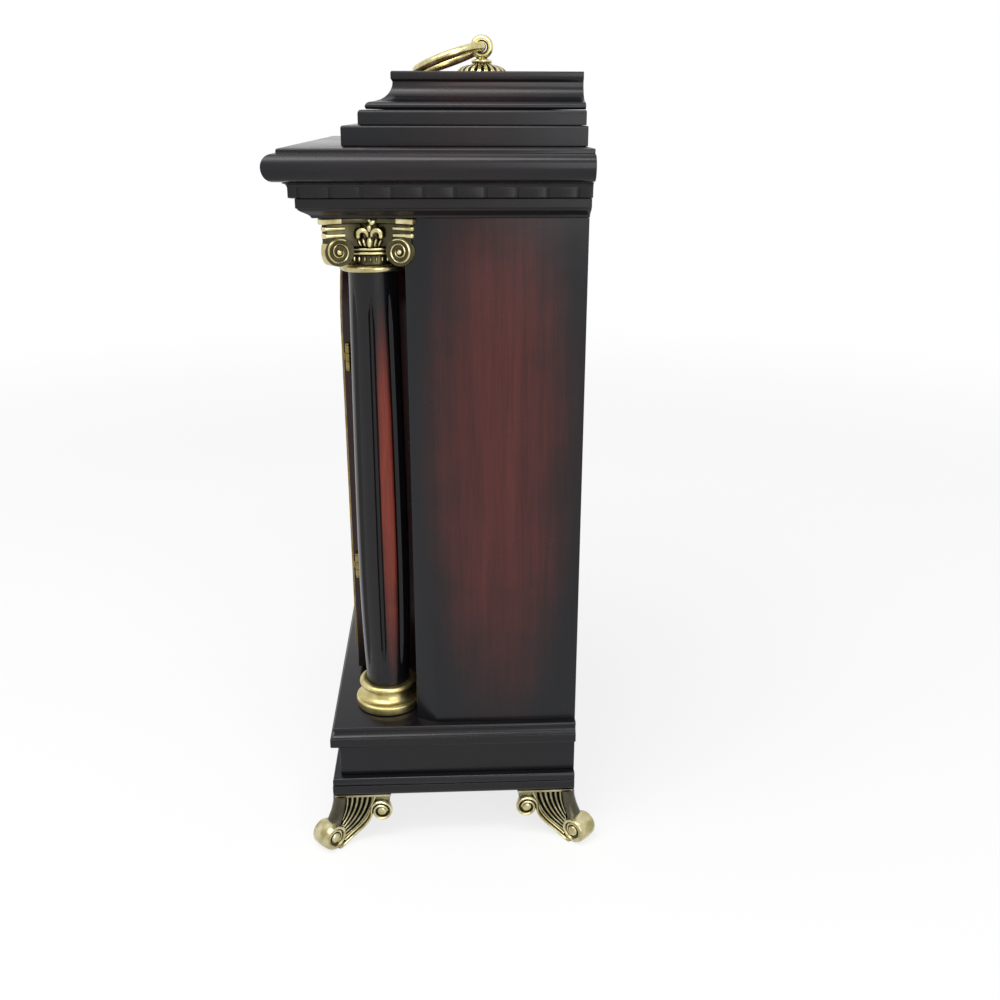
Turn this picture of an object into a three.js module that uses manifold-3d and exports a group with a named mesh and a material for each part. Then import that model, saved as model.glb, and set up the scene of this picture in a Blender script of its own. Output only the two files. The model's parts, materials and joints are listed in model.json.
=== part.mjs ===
// A bracket clock: a dark mahogany case with corner columns, cast brass capitals, column rings
// and scroll feet, a stepped top with a loose ring handle, an arched glazed door, and a
// battery movement with a pendulum. Millimetres, +Z up, the front faces -Y.
// Origin: on the ground, at the middle of the clock's width and depth.
import * as THREE from "three";
import { mergeVertices } from "three/addons/utils/BufferGeometryUtils.js";
import Module from "manifold-3d";

const wasm = await Module();
wasm.setup();

// ---------------------------------------------------------------- driving dimensions
const seam = 0.2; // glue line left between two wooden boards
const clearance = 0.3; // between pieces that touch, slide or swing past each other

const caseWidth = 236; // across the two side panels
const frontDepth = 130.8; // case back to the plane that the front mouldings are set out from
const footHeight = 30.3; // ground to the underside of the base moulding
const baseMouldingHeight = 11.3;
const plinthHeight = 20;
const baseBoardHeight = 12.2;
const panelHeight = 273.5;
const architraveHeight = 9.5;
const dentilHeight = 7.4;
const corniceHeight = 14.9;
const lowerStepHeight = 9.4;
const upperStepHeight = 7.1;
const capHeight = 17.5;

// How far each board stands out of the side panels and of the front plane (negative: set in).
const baseMouldingReach = 6.0;
const plinthReach = 1.4;
const baseBoardReach = 6.0;
const architraveReach = 7.2;
const dentilReach = 9.9;
const corniceReach = 20;
const lowerStepReach = -13.4;
const upperStepReach = -21.1;
const capReach = -24.4;
const capLipReach = -36.6;

const dentilWidth = 12.6;
const dentilSlot = 1.7;
const dentilDepth = 1.5;
const cornerDentil = 5;

const panelThickness = 16;
const splayDepth = 14; // how far a side panel's splayed front edge runs forward of its flat
const splayAngle = 27; // degrees in from the flat
const frontPanelThickness = 12;

const columnInset = 25; // column axis in from the side panel's face
const columnSetback = 25.5; // column axis back from the moulding plane
const shaftFootRadius = 11.5;
const shaftBellyRadius = 13.6;
const shaftNeckRadius = 12.2;
const fluteCount = 8;
const fluteWidth = 21; // degrees of the shaft
const fluteDepth = 1.6;
const fluteMargin = 10; // plain shaft left above the ring and below the capital
const fluteTurn = 35; // degrees from the clock's side face to the nearest flute
const ringHeight = 10;
const ringRadius = 18.6;
const ringBoreRadius = 10.5;
const capitalHeight = 27;
const abacusWidth = 48;
const abacusThickness = 3.2;
const abacusHollow = 4; // how far the middle of each abacus side is drawn in
const astragalRadius = 17;
const voluteRadius = 6;
const voluteLength = 9;
const tenonRadius = 8;
const tenonLength = 6;

const doorWidth = 113;
const doorHeadGap = 11.6; // top of the door's arch to the architrave
const doorFootGap = 2.4; // base board to the foot of the door
const doorThickness = 7;
const doorStile = 12; // width of the frame round the glass
const doorSetback = 5.3; // face of the door behind the plane of the front mouldings
const glassThickness = 2;
const glassLap = 3; // glass behind the frame's edge
const bezelWidth = 2.6;
const bezelThickness = 1.6;
const doorKnobRadius = 4;
const doorKnobLength = 9;

const hingeHeight = 13;
const hingeBarrelRadius = 1.8;
const hingeBoreRadius = 1.0;
const hingePinRadius = 0.92;
const hingeLeafWidth = 9;
const hingeLeafThickness = 0.8;
const upperHingeHeight = 192; // hinge middle above the foot of the door
const lowerHingeHeight = 68;
const hingeAxisBehindFace = 3; // hinge axis behind the outer face of its door

const dialThickness = 1.2;
const dialBehindGlass = 12;
const dialSkirt = 47; // dial centre to the lower edge of the dial plate
const chapterOuterRadius = 40;
const chapterInnerRadius = 27;
const chapterThickness = 0.8;
const handGap = 1.2; // between dial, hour hand and minute hand
const handThickness = 0.5;
const hourHandLength = 24;
const minuteHandLength = 35;
const hourBushRadius = 2.6;
const arborRadius = 1.2;
const handNutRadius = 2.2;
const handNutThickness = 1.4;

const movementWidth = 60;
const movementHeight = 56;
const movementDepth = 17;
const movementCorner = 4;
const bossRadius = 4; // threaded boss that carries the movement in the dial plate
const fixingNutRadius = 6.5;
const fixingNutThickness = 2;
const batteryRadius = 7;
const batteryLength = 49;
const batteryOffset = 20; // battery axis to one side of the hands' arbor
const settingKnobRadius = 7;
const settingKnobThickness = 4;

const pivotDrop = 20; // pendulum pivot below the hands' arbor
const pivotRadius = 1.5;
const rodBehindMovement = 3;
const rodFootGap = 9; // foot of the pendulum rod to the sill of the arched opening
const rodThread = 3; // rod left below the rating nut
const rodWidth = 3;
const rodThickness = 0.8;
const rodEyeRadius = 3.4;
const bobRadius = 21;
const bobThickness = 6;
const ratingNutRadius = 3.2;
const ratingNutHeight = 3;

const backInset = 10; // back panel in from the case back
const backPanelThickness = 5;
const backOpeningWidth = 124;
const backOpeningHeight = 144;
const backOpeningHead = 27.5; // head of the opening to the architrave
const backDoorLap = 8;
const backDoorThickness = 5;
const backKnobRadius = 4;
const backKnobLength = 4.2;

const eyeRise = 15; // cap top to the middle of the eye
const eyeRadius = 4.6; // middle of the eye's wire
const eyeWire = 1.7;
const handleRingRadius = 19.1; // middle of the ring's wire
const handleWire = 2.4;
const handleLean = 5; // degrees that the loose ring leans to one side
const rosetteRadius = 15;
const rosetteHeight = 6.5;
const rosetteRibs = 20;
const neckRadius = 5.8;
const neckHeight = 2.6;

const footLength = 31; // along each side of the base
const footInset = 2; // from the edge of the base moulding to the face of the foot
const footPlate = 1.4;
const footWeb = 5; // thickness of each wing of the foot
const footSmallScroll = 6.2; // radius of the scroll at the end of a wing
const footRollerRadius = 8;
const footRollerLength = 13;
const footPad = 0.4; // ground off the roller to make it stand flat
const footRollerOut = 4.2; // roller's middle outside the corner of the base moulding
const footRibs = 5;
const footRibHeight = 0.9;

// ---------------------------------------------------------------- heights and planes
const baseMouldingZ = footHeight;
const plinthZ = baseMouldingZ + baseMouldingHeight;
const baseBoardZ = plinthZ + plinthHeight;
const floorZ = baseBoardZ + baseBoardHeight; // top of the base board, where the case stands
const architraveZ = floorZ + panelHeight;
const dentilZ = architraveZ + architraveHeight;
const corniceZ = dentilZ + dentilHeight;
const lowerStepZ = corniceZ + corniceHeight;
const upperStepZ = lowerStepZ + lowerStepHeight;
const capZ = upperStepZ + upperStepHeight;
const topZ = capZ + capHeight;

const half = caseWidth / 2;
const columnX = half - columnInset;
const columnY = -(frontDepth - columnSetback);
const recessY = columnY + abacusWidth / 2 + clearance; // face of the front panel, behind the columns
const panelFlat = -recessY - 3; // flat depth of a side panel, behind its splayed edge

const doorHalf = doorWidth / 2;
const doorFootZ = floorZ + doorFootGap;
const springZ = architraveZ - doorHeadGap - doorHalf; // where the arch springs from the door's sides
const doorFaceY = doorSetback - frontDepth;
const doorBackY = doorFaceY + doorThickness;
const openingHalf = doorHalf - doorStile;
const openingFootZ = doorFootZ + doorStile;
const glassFaceY = doorBackY - glassThickness - clearance;
const dialY = doorBackY + dialBehindGlass - glassThickness; // face of the dial plate

// ---------------------------------------------------------------- materials
const standard = (color, roughness, metalness, extra = {}) =>
  new THREE.MeshStandardMaterial({ color, roughness, metalness, ...extra });
const mahogany = standard(0x3a2022, 0.35, 0);
const brass = standard(0xa89a55, 0.35, 1);
const glass = standard(0xdfe8e6, 0.05, 0, { transparent: true, opacity: 0.3 });
const silvered = standard(0xd8d4c4, 0.4, 0.6);
const ivory = standard(0xece4cf, 0.6, 0);
const blackSteel = standard(0x1a1a1c, 0.4, 0.8);
const blackPlastic = standard(0x1c1c1e, 0.5, 0);
const batteryWrap = standard(0x39424a, 0.4, 0.2);

// ---------------------------------------------------------------- solids
const rad = (degrees) => (degrees * Math.PI) / 180;

// A closed three.js geometry as a manifold solid, with the doubled corners merged.
function solid(geometry) {
  const bare = new THREE.BufferGeometry();
  bare.setAttribute("position", geometry.getAttribute("position"));
  if (geometry.index) bare.setIndex(geometry.index);
  const merged = mergeVertices(bare, 1e-4);
  const index = merged.index.array;
  const faces = [];
  for (let i = 0; i < index.length; i += 3) {
    const [a, b, c] = [index[i], index[i + 1], index[i + 2]];
    if (a !== b && b !== c && c !== a) faces.push(a, b, c);
  }
  const made = new wasm.Manifold(
    new wasm.Mesh({
      numProp: 3,
      vertProperties: new Float32Array(merged.attributes.position.array),
      triVerts: new Uint32Array(faces),
    }),
  );
  if (made.volume() > 0) return made;
  const turned = new Uint32Array(faces.reverse());
  return new wasm.Manifold(
    new wasm.Mesh({
      numProp: 3,
      vertProperties: new Float32Array(merged.attributes.position.array),
      triVerts: turned,
    }),
  );
}

// A closed skin over rows of points, the same number in each, from the bottom row to the top.
function skin(points, around, rows) {
  const faces = [];
  for (let row = 0; row < rows - 1; row++) {
    for (let i = 0; i < around; i++) {
      const a = row * around + i;
      const b = row * around + ((i + 1) % around);
      faces.push(a, b, b + around, a, b + around, a + around);
    }
  }
  const bottom = points.length;
  const last = (rows - 1) * around;
  const ends = [[0, 0, points[0][2]], [0, 0, points[last][2]]];
  for (let i = 0; i < around; i++) {
    const next = (i + 1) % around;
    faces.push(bottom, next, i, bottom + 1, last + i, last + next);
  }
  const geometry = new THREE.BufferGeometry();
  geometry.setAttribute("position", new THREE.Float32BufferAttribute([...points, ...ends].flat(), 3));
  geometry.setIndex(faces);
  return solid(geometry);
}

function geometryOf(made) {
  const mesh = made.getMesh();
  const geometry = new THREE.BufferGeometry();
  geometry.setAttribute("position", new THREE.BufferAttribute(mesh.vertProperties, 3));
  geometry.setIndex(new THREE.BufferAttribute(mesh.triVerts, 1));
  geometry.computeVertexNormals();
  return geometry;
}

const join = (first, ...others) => others.reduce((sum, next) => sum.add(next), first);
const cut = (first, ...others) => others.reduce((sum, next) => sum.subtract(next), first);

function box(x, y, z) {
  const geometry = new THREE.BoxGeometry(x[1] - x[0], y[1] - y[0], z[1] - z[0]);
  geometry.translate((x[0] + x[1]) / 2, (y[0] + y[1]) / 2, (z[0] + z[1]) / 2);
  return solid(geometry);
}

// Points of an arc in a plane, from one angle to another in degrees.
function arc(cx, cy, radius, from, to, steps, radiusY = radius) {
  const points = [];
  for (let i = 0; i <= steps; i++) {
    const angle = rad(from + ((to - from) * i) / steps);
    points.push([cx + radius * Math.cos(angle), cy + radiusY * Math.sin(angle)]);
  }
  return points;
}

const vectors = (points) => points.map(([x, y]) => new THREE.Vector2(x, y));

// A revolve about the vertical axis through the origin, from [radius, height] points.
function revolve(points, segments) {
  const geometry = new THREE.LatheGeometry(vectors(points), segments);
  geometry.rotateX(Math.PI / 2);
  return solid(geometry);
}

function outline(points, holes = []) {
  const shape = new THREE.Shape(vectors(points));
  for (const hole of holes) shape.holes.push(new THREE.Path(vectors(hole)));
  return shape;
}

// A plan outline [x, y] raised from z[0] to z[1].
function raise(points, z, holes = []) {
  const geometry = new THREE.ExtrudeGeometry(outline(points, holes), {
    depth: z[1] - z[0],
    bevelEnabled: false,
  });
  geometry.translate(0, 0, z[0]);
  return solid(geometry);
}

// A front outline [x, z] given its thickness from y[0] (front) to y[1] (back).
function slab(points, y, holes = []) {
  const geometry = new THREE.ExtrudeGeometry(outline(points, holes), {
    depth: y[1] - y[0],
    bevelEnabled: false,
  });
  geometry.rotateX(Math.PI / 2);
  geometry.translate(0, y[1], 0);
  return solid(geometry);
}

// A cylinder along one of the axes.
function rod(radius, axis, centre, from, to, segments) {
  const geometry = new THREE.CylinderGeometry(radius, radius, to - from, segments);
  geometry.translate(0, (from + to) / 2, 0);
  if (axis === "x") geometry.rotateZ(-Math.PI / 2);
  if (axis === "z") geometry.rotateX(Math.PI / 2);
  geometry.translate(...centre);
  return solid(geometry);
}

// Depths are set out from the case back; the whole clock moves to the middle of its depth last.
const root = new THREE.Group();

function place(name, made, material, parent = root) {
  const mesh = new THREE.Mesh(geometryOf(made), material);
  mesh.name = name;
  parent.add(mesh);
  return mesh;
}

// ---------------------------------------------------------------- mitred boards
// A board whose front and side edges carry one moulding and whose back is cut flush with the
// case back. Each profile point is [reach, height], from the underside to the top.
function mitred(profile, z, reach = 0) {
  const corners = [];
  for (const [p, h] of profile) {
    const x = half + reach + p;
    const y = frontDepth + reach + p;
    corners.push([-x, -y, z + h], [x, -y, z + h], [x, 0, z + h], [-x, 0, z + h]);
  }
  const faces = [0, 2, 1, 0, 3, 2];
  const last = corners.length - 4;
  faces.push(last, last + 1, last + 2, last, last + 2, last + 3);
  for (let ring = 0; ring < last; ring += 4) {
    for (let side = 0; side < 4; side++) {
      const a = ring + side;
      const b = ring + ((side + 1) % 4);
      faces.push(a, b, b + 4, a, b + 4, a + 4);
    }
  }
  const geometry = new THREE.BufferGeometry();
  geometry.setAttribute("position", new THREE.Float32BufferAttribute(corners.flat(), 3));
  geometry.setIndex(faces);
  return solid(geometry);
}

// Half-round and hollow steps used by the profiles below.
const roundTop = (height, radius, steps = 3) => arc(-radius, height - radius, radius, 0, 90, steps);
const sweep = (from, to, steps) =>
  Array.from({ length: steps + 1 }, (_, i) => {
    const t = i / steps;
    return [from[0] + (to[0] - from[0]) * t * t * (3 - 2 * t), from[1] + (to[1] - from[1]) * t];
  });

// Base moulding: a flat member with a rounded foot, a quirk, and a smaller rounded member above.
{
  const top = baseMouldingHeight - seam;
  const split = baseMouldingHeight * 0.56;
  const profile = [
    ...arc(-2, 2, 2, -90, 0, 3),
    [0, split],
    [-0.9, split + 0.2],
    [-0.9, split + 0.7],
    [-0.2, split + 0.9],
    ...arc(-1.7, top - 1.5, 1.5, 0, 90, 3),
  ];
  place("base_moulding", mitred(profile, baseMouldingZ, baseMouldingReach), mahogany);
}

place(
  "plinth",
  mitred([[0, 0], [0, plinthHeight - seam]], plinthZ, plinthReach),
  mahogany,
);

// Base board: a fascia rounded below, a quirk, a hollow ledge and a rounded upper edge.
{
  const top = baseBoardHeight - seam;
  const profile = [
    ...arc(-1, 1, 1, -90, 0, 2),
    [0, 5.6],
    [-0.8, 5.8],
    [-0.8, 6.3],
    ...arc(-0.8, 9.5, 1.6, 270, 180, 3, 3.1),
    [-1.7, 9.7],
    ...arc(-2.6, top - 0.9, 0.9, 0, 90, 2),
  ];
  place("base_board", mitred(profile, baseBoardZ, baseBoardReach), mahogany);
}

// Architrave: a shallow S-shaped moulding that swells out to a flat fascia.
place(
  "architrave_moulding",
  mitred(
    [
      [-6.6, 0],
      ...sweep([-6.3, 0.4], [-0.6, 4.9], 6),
      [0, 5.1],
      [0, architraveHeight - seam],
    ],
    architraveZ,
    architraveReach,
  ),
  mahogany,
);

// Dentil moulding: a band cut by narrow upright slots on the front and both sides, under a hollow.
{
  const top = dentilHeight - seam;
  const slotFoot = 0.4;
  const slotTop = 5;
  const profile = [
    [-1.6, 0],
    [-0.2, slotFoot],
    [0, slotFoot + 0.2],
    [0, slotTop + 0.2],
    ...arc(2, slotTop + 0.2, 1.9, 180, 90, 3, top - slotTop - 0.5),
    [2, top],
  ];
  const faceX = half + dentilReach;
  const faceY = frontDepth + dentilReach;
  const z = [dentilZ + slotFoot, dentilZ + slotTop];
  const slots = [];
  const pitchOf = (length) => {
    const count = Math.round(length / (dentilWidth + dentilSlot));
    return [count, length / count];
  };
  const [frontCount, frontPitch] = pitchOf(2 * (faceX - cornerDentil));
  for (let i = 0; i <= frontCount; i++) {
    const x = -(faceX - cornerDentil) + i * frontPitch;
    slots.push(box([x - dentilSlot / 2, x + dentilSlot / 2], [-faceY - 1, -faceY + dentilDepth], z));
  }
  const sidePitch = dentilWidth + dentilSlot;
  for (let y = -faceY + cornerDentil; y < -dentilSlot; y += sidePitch) {
    for (const [near, far] of [[faceX - dentilDepth, faceX + 1], [-faceX - 1, dentilDepth - faceX]]) {
      slots.push(box([near, far], [y - dentilSlot / 2, y + dentilSlot / 2], z));
    }
  }
  place("dentil_moulding", cut(mitred(profile, dentilZ, dentilReach), ...slots), mahogany);
}

// Cornice: a thick ovolo edge under a small ledge and fillet.
{
  const belly = corniceHeight * 0.45;
  const ledge = corniceHeight * 0.84;
  const profile = [
    [-8.1, 0],
    [-4.6, 0.3],
    ...arc(-4.4, belly, 4.4, -84, 0, 6, belly - 0.4),
    ...arc(-4.9, belly, 4.9, 15, 82, 5, ledge - belly),
    [-6.4, ledge + 0.1],
    ...arc(-7.2, corniceHeight - seam - 0.8, 0.8, 0, 90, 2),
  ];
  place("cornice_board", mitred(profile, corniceZ, corniceReach), mahogany);
}

place(
  "lower_step",
  mitred([[0, 0], ...roundTop(lowerStepHeight - seam, 0.9, 2)], lowerStepZ, lowerStepReach),
  mahogany,
);
place(
  "upper_step",
  mitred([[0, 0], ...roundTop(upperStepHeight - seam, 1.7)], upperStepZ, upperStepReach),
  mahogany,
);

// Cap: a bead at the foot, a deep hollow, and a small lip at the top.
const capMiddleY = -(frontDepth + capLipReach) / 2;
const capLip = capLipReach - capReach;
const shankRadius = 2.5;
const shankLength = 13;
{
  const hollow = capLip - 0.9;
  const hollowTop = capHeight - 4.9;
  const profile = [
    [-0.6, 0],
    ...arc(-2.8, 1, 2.8, 0, 78, 4, 2.4),
    ...arc(-2.8, hollowTop, -2.8 - hollow, 270, 180, 7, hollowTop - 3.6).slice(1),
    [capLip, capHeight - 3.5],
    ...arc(capLip - 0.8, capHeight - 0.8, 0.8, 0, 90, 2),
  ];
  const hole = rod(shankRadius + clearance, "z", [0, capMiddleY, 0], topZ - shankLength - 1, topZ + 1, 12);
  place("cap_moulding", cut(mitred(profile, capZ, capReach), hole), mahogany);
}

// ---------------------------------------------------------------- case
const panelZ = [floorZ, architraveZ - seam];
const innerHalf = half - panelThickness;
const capitalZ = architraveZ - seam - capitalHeight;
for (const [side, name] of [[1, "right"], [-1, "left"]]) {
  // The splayed nose passes beside the column's ring, and is cut short under the capital.
  const noseY = -(panelFlat + splayDepth);
  const plan = [
    [half, 0],
    [innerHalf, 0],
    [innerHalf, noseY],
    [half - splayDepth * Math.tan(rad(splayAngle)), noseY],
    [half, -panelFlat],
  ].map(([x, y]) => [side * x, y]);
  const nook = rod(ringRadius + 2 * clearance, "z", [side * columnX, columnY, 0], panelZ[0] - 1, panelZ[1] + 1, 32);
  const seat = box([-caseWidth, caseWidth], [noseY - 1, recessY], [capitalZ - 2 * clearance, panelZ[1] + 1]);
  place(`side_panel_${name}`, cut(raise(plan, panelZ), nook, seat), mahogany);
}

// An arch-headed outline [x, z], upright on its foot.
function arched(halfWidth, foot, steps = 16) {
  return [
    [-halfWidth, foot],
    [halfWidth, foot],
    ...arc(0, springZ, halfWidth, 0, 180, steps),
  ];
}

{
  const edge = innerHalf - seam;
  const board = [[-edge, panelZ[0]], [edge, panelZ[0]], [edge, panelZ[1]], [-edge, panelZ[1]]];
  const opening = arched(openingHalf, openingFootZ);
  place(
    "front_panel",
    slab(board, [recessY, recessY + frontPanelThickness], [opening]),
    mahogany,
  );
  place(
    "arch_surround",
    slab(arched(doorHalf, floorZ), [doorBackY + clearance, recessY - seam], [opening]),
    mahogany,
  );
}

const headZ = architraveZ - backOpeningHead;
const backOpening = { x: backOpeningWidth / 2, z: [headZ - backOpeningHeight, headZ] };
const rectangle = (x, z) => [[-x, z[0]], [x, z[0]], [x, z[1]], [-x, z[1]]];
const backPanelY = -backInset;
place(
  "back_panel",
  slab(rectangle(innerHalf - seam, panelZ), [backPanelY - backPanelThickness, backPanelY], [
    rectangle(backOpening.x, backOpening.z),
  ]),
  mahogany,
);

// ---------------------------------------------------------------- columns
const ringZ = floorZ + seam;
const shaftFootZ = ringZ;
const shaftTopZ = capitalZ - seam;

// A shaft with a swelling waist and upright flutes that run out at both ends.
function shaft(turn) {
  const sections = 6;
  const perFlute = 8;
  const around = fluteCount * perFlute;
  const plainFoot = ringZ + ringHeight;
  const radiusAt = (t) => {
    const belly = Math.sin(Math.PI * Math.min(1, t * 1.15)) ** 0.8;
    const straight = shaftFootRadius + (shaftNeckRadius - shaftFootRadius) * t;
    return straight + (shaftBellyRadius - straight) * belly;
  };
  const levels = [];
  const fluteFrom = plainFoot + fluteMargin;
  const fluteTo = shaftTopZ - fluteMargin;
  levels.push([plainFoot, 0]);
  const runOut = 9;
  levels.push([fluteFrom, 0], [fluteFrom + runOut * 0.4, 0.6], [fluteFrom + runOut, 1]);
  for (let i = 1; i < sections - 2; i++) {
    levels.push([fluteFrom + runOut + ((fluteTo - fluteFrom - 2 * runOut) * i) / (sections - 2), 1]);
  }
  levels.push([fluteTo - runOut, 1], [fluteTo - runOut * 0.4, 0.6], [fluteTo, 0], [shaftTopZ, 0]);
  const points = [];
  for (const [z, cutShare] of levels) {
    const t = (z - plainFoot) / (shaftTopZ - plainFoot);
    for (let i = 0; i < around; i++) {
      const step = i % perFlute;
      const flute = Math.floor(i / perFlute);
      const inFlute = step < 6;
      // Five steps across the flute, then one across the fillet to the next flute.
      const across = inFlute ? (step / 5 - 0.5) * fluteWidth : fluteWidth / 2 + (step - 5) * ((360 / fluteCount - fluteWidth) / 3);
      const angle = rad(turn + (flute * 360) / fluteCount + across);
      const depth = inFlute ? fluteDepth * cutShare * (1 - (2 * (step / 5) - 1) ** 2) : 0;
      const r = radiusAt(t) - depth;
      points.push([r * Math.cos(angle), r * Math.sin(angle), z]);
    }
  }
  const foot = rod(ringBoreRadius - clearance, "z", [0, 0, 0], shaftFootZ, plainFoot + 1, 20);
  const tenon = rod(tenonRadius, "z", [0, 0, 0], shaftTopZ - 1, shaftTopZ + tenonLength, 16);
  return join(skin(points, around, levels.length), foot, tenon);
}

// The ring round a shaft's foot: a flat disc, a hollow, and a swelling collar.
function columnRing() {
  const h = ringHeight - seam;
  const profile = [
    [0, 0],
    [ringRadius, 0],
    ...arc(ringRadius - 1.4, 1.8, 1.4, -10, 80, 2),
    ...arc(ringRadius - 1.5, 5.2, 2.2, 260, 100, 3, 1.7),
    ...arc(ringRadius - 3.6, h - 1.8, 1.8, -50, 90, 3),
    [shaftFootRadius, h],
    [0, h],
  ];
  const bore = rod(ringBoreRadius, "z", [0, 0, 0], -1, ringHeight + 1, 20);
  return cut(revolve(profile, 24), bore);
}

// A flat spiral outline that curls inwards from the given angle.
function spiral(radius, endRadius, band, turns, start, steps) {
  const outer = [];
  const inner = [];
  for (let i = 0; i <= steps; i++) {
    const t = i / steps;
    const angle = rad(start + 360 * turns * t);
    const r = radius + (endRadius - radius) * t;
    const width = band * (1 - 0.35 * t);
    outer.push([r * Math.cos(angle), r * Math.sin(angle)]);
    inner.push([(r - width) * Math.cos(angle), (r - width) * Math.sin(angle)]);
  }
  return [...outer, ...inner.reverse()];
}

// A rolled scroll: a spiral band as long as the roll, closed by a shorter core. Its axis is
// horizontal, along y, and its middle is at the origin.
function scroll(radius, length, recess, start, handed = 1) {
  const band = radius * 0.27;
  const flat = spiral(radius, radius * 0.3, band, 1.5, start, 13).map(([x, z]) => [handed * x, z]);
  const roll = slab(flat, [-length / 2, length / 2]);
  const core = rod(radius * 0.86, "y", [0, 0, 0], -length / 2 + recess, length / 2 - recess, 10);
  const eye = rod(radius * 0.26, "y", [0, 0, 0], -length / 2 + recess * 0.3, length / 2 - recess * 0.3, 6);
  return join(roll, core, eye);
}

const turned = (made, angle) => made.rotate([0, 0, angle]);

// The capital: a ringed neck, a bell, four corner volutes under a hollow-sided abacus, and a
// leaf in the middle of each side.
function capital() {
  const abacusFoot = capitalHeight - abacusThickness;
  const bell = revolve(
    [
      [0, 0],
      [astragalRadius - 3.4, 0],
      ...arc(astragalRadius - 2, 2, 2, -50, 80, 3),
      [astragalRadius - 3.4, 7.4],
      [astragalRadius - 1.6, 8.6],
      [astragalRadius - 1.6, 9.8],
      [astragalRadius - 2.4, 10.4],
      [astragalRadius - 1.8, 11],
      [astragalRadius - 1.8, 12.2],
      [astragalRadius - 3.4, 13],
      [astragalRadius - 4, 17],
      [astragalRadius - 1, abacusFoot + 0.5],
      [0, abacusFoot + 0.5],
    ],
    20,
  );
  const halfAbacus = abacusWidth / 2;
  const horn = 3; // half width of the clipped corner
  const side = [];
  for (let i = 0; i <= 6; i++) {
    const t = i / 3 - 1;
    side.push([t * (halfAbacus - horn), -(halfAbacus - abacusHollow * (1 - t * t))]);
  }
  const plan = [];
  for (let k = 0; k < 4; k++) {
    const angle = rad(90 * k);
    for (const [x, y] of side) {
      plan.push([x * Math.cos(angle) - y * Math.sin(angle), x * Math.sin(angle) + y * Math.cos(angle)]);
    }
  }
  const shrink = (share) => plan.map(([x, y]) => [x * share, y * share]);
  const abacus = join(
    raise(plan, [abacusFoot + 1.2, capitalHeight]),
    raise(shrink(0.93), [abacusFoot, capitalHeight - 0.5]),
  );
  const voluteOut = halfAbacus - 2; // along the diagonal
  const voluteRise = capitalHeight / 2;
  let made = join(bell, abacus);
  for (let k = 0; k < 4; k++) {
    const roll = scroll(voluteRadius, voluteLength, 1, 60, 1)
      .translate([voluteOut, 0, voluteRise]);
    const shoulder = box(
      [astragalRadius - 6, voluteOut + voluteRadius * 0.7],
      [-voluteLength / 2, voluteLength / 2],
      [voluteRise + voluteRadius * 0.55, abacusFoot + 0.5],
    );
    made = join(made, turned(join(roll, shoulder), 45 + 90 * k));
    const leaf = [];
    for (let i = 0; i <= 10; i++) {
      const angle = (Math.PI * i) / 10;
      const r = i % 2 ? 5.4 : 3.9;
      leaf.push([r * Math.cos(angle), 14 + 1.25 * r * Math.sin(angle)]);
    }
    const relief = slab(leaf, [-(astragalRadius + 1.4), -(astragalRadius - 6)]);
    made = join(made, turned(relief, 90 * k));
  }
  const socket = rod(tenonRadius + clearance, "z", [0, 0, 0], -1, tenonLength + 0.6, 16);
  return cut(made, socket);
}

for (const [side, name] of [[1, "right"], [-1, "left"]]) {
  const column = new THREE.Group();
  column.position.set(side * columnX, columnY, 0);
  root.add(column);
  const turn = side > 0 ? fluteTurn : 180 - fluteTurn;
  place(`column_shaft_${name}`, shaft(turn), mahogany, column);
  place(`column_ring_${name}`, columnRing(), brass, column).position.z = ringZ;
  place(`column_capital_${name}`, capital(), brass, column).position.z = capitalZ;
}

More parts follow.
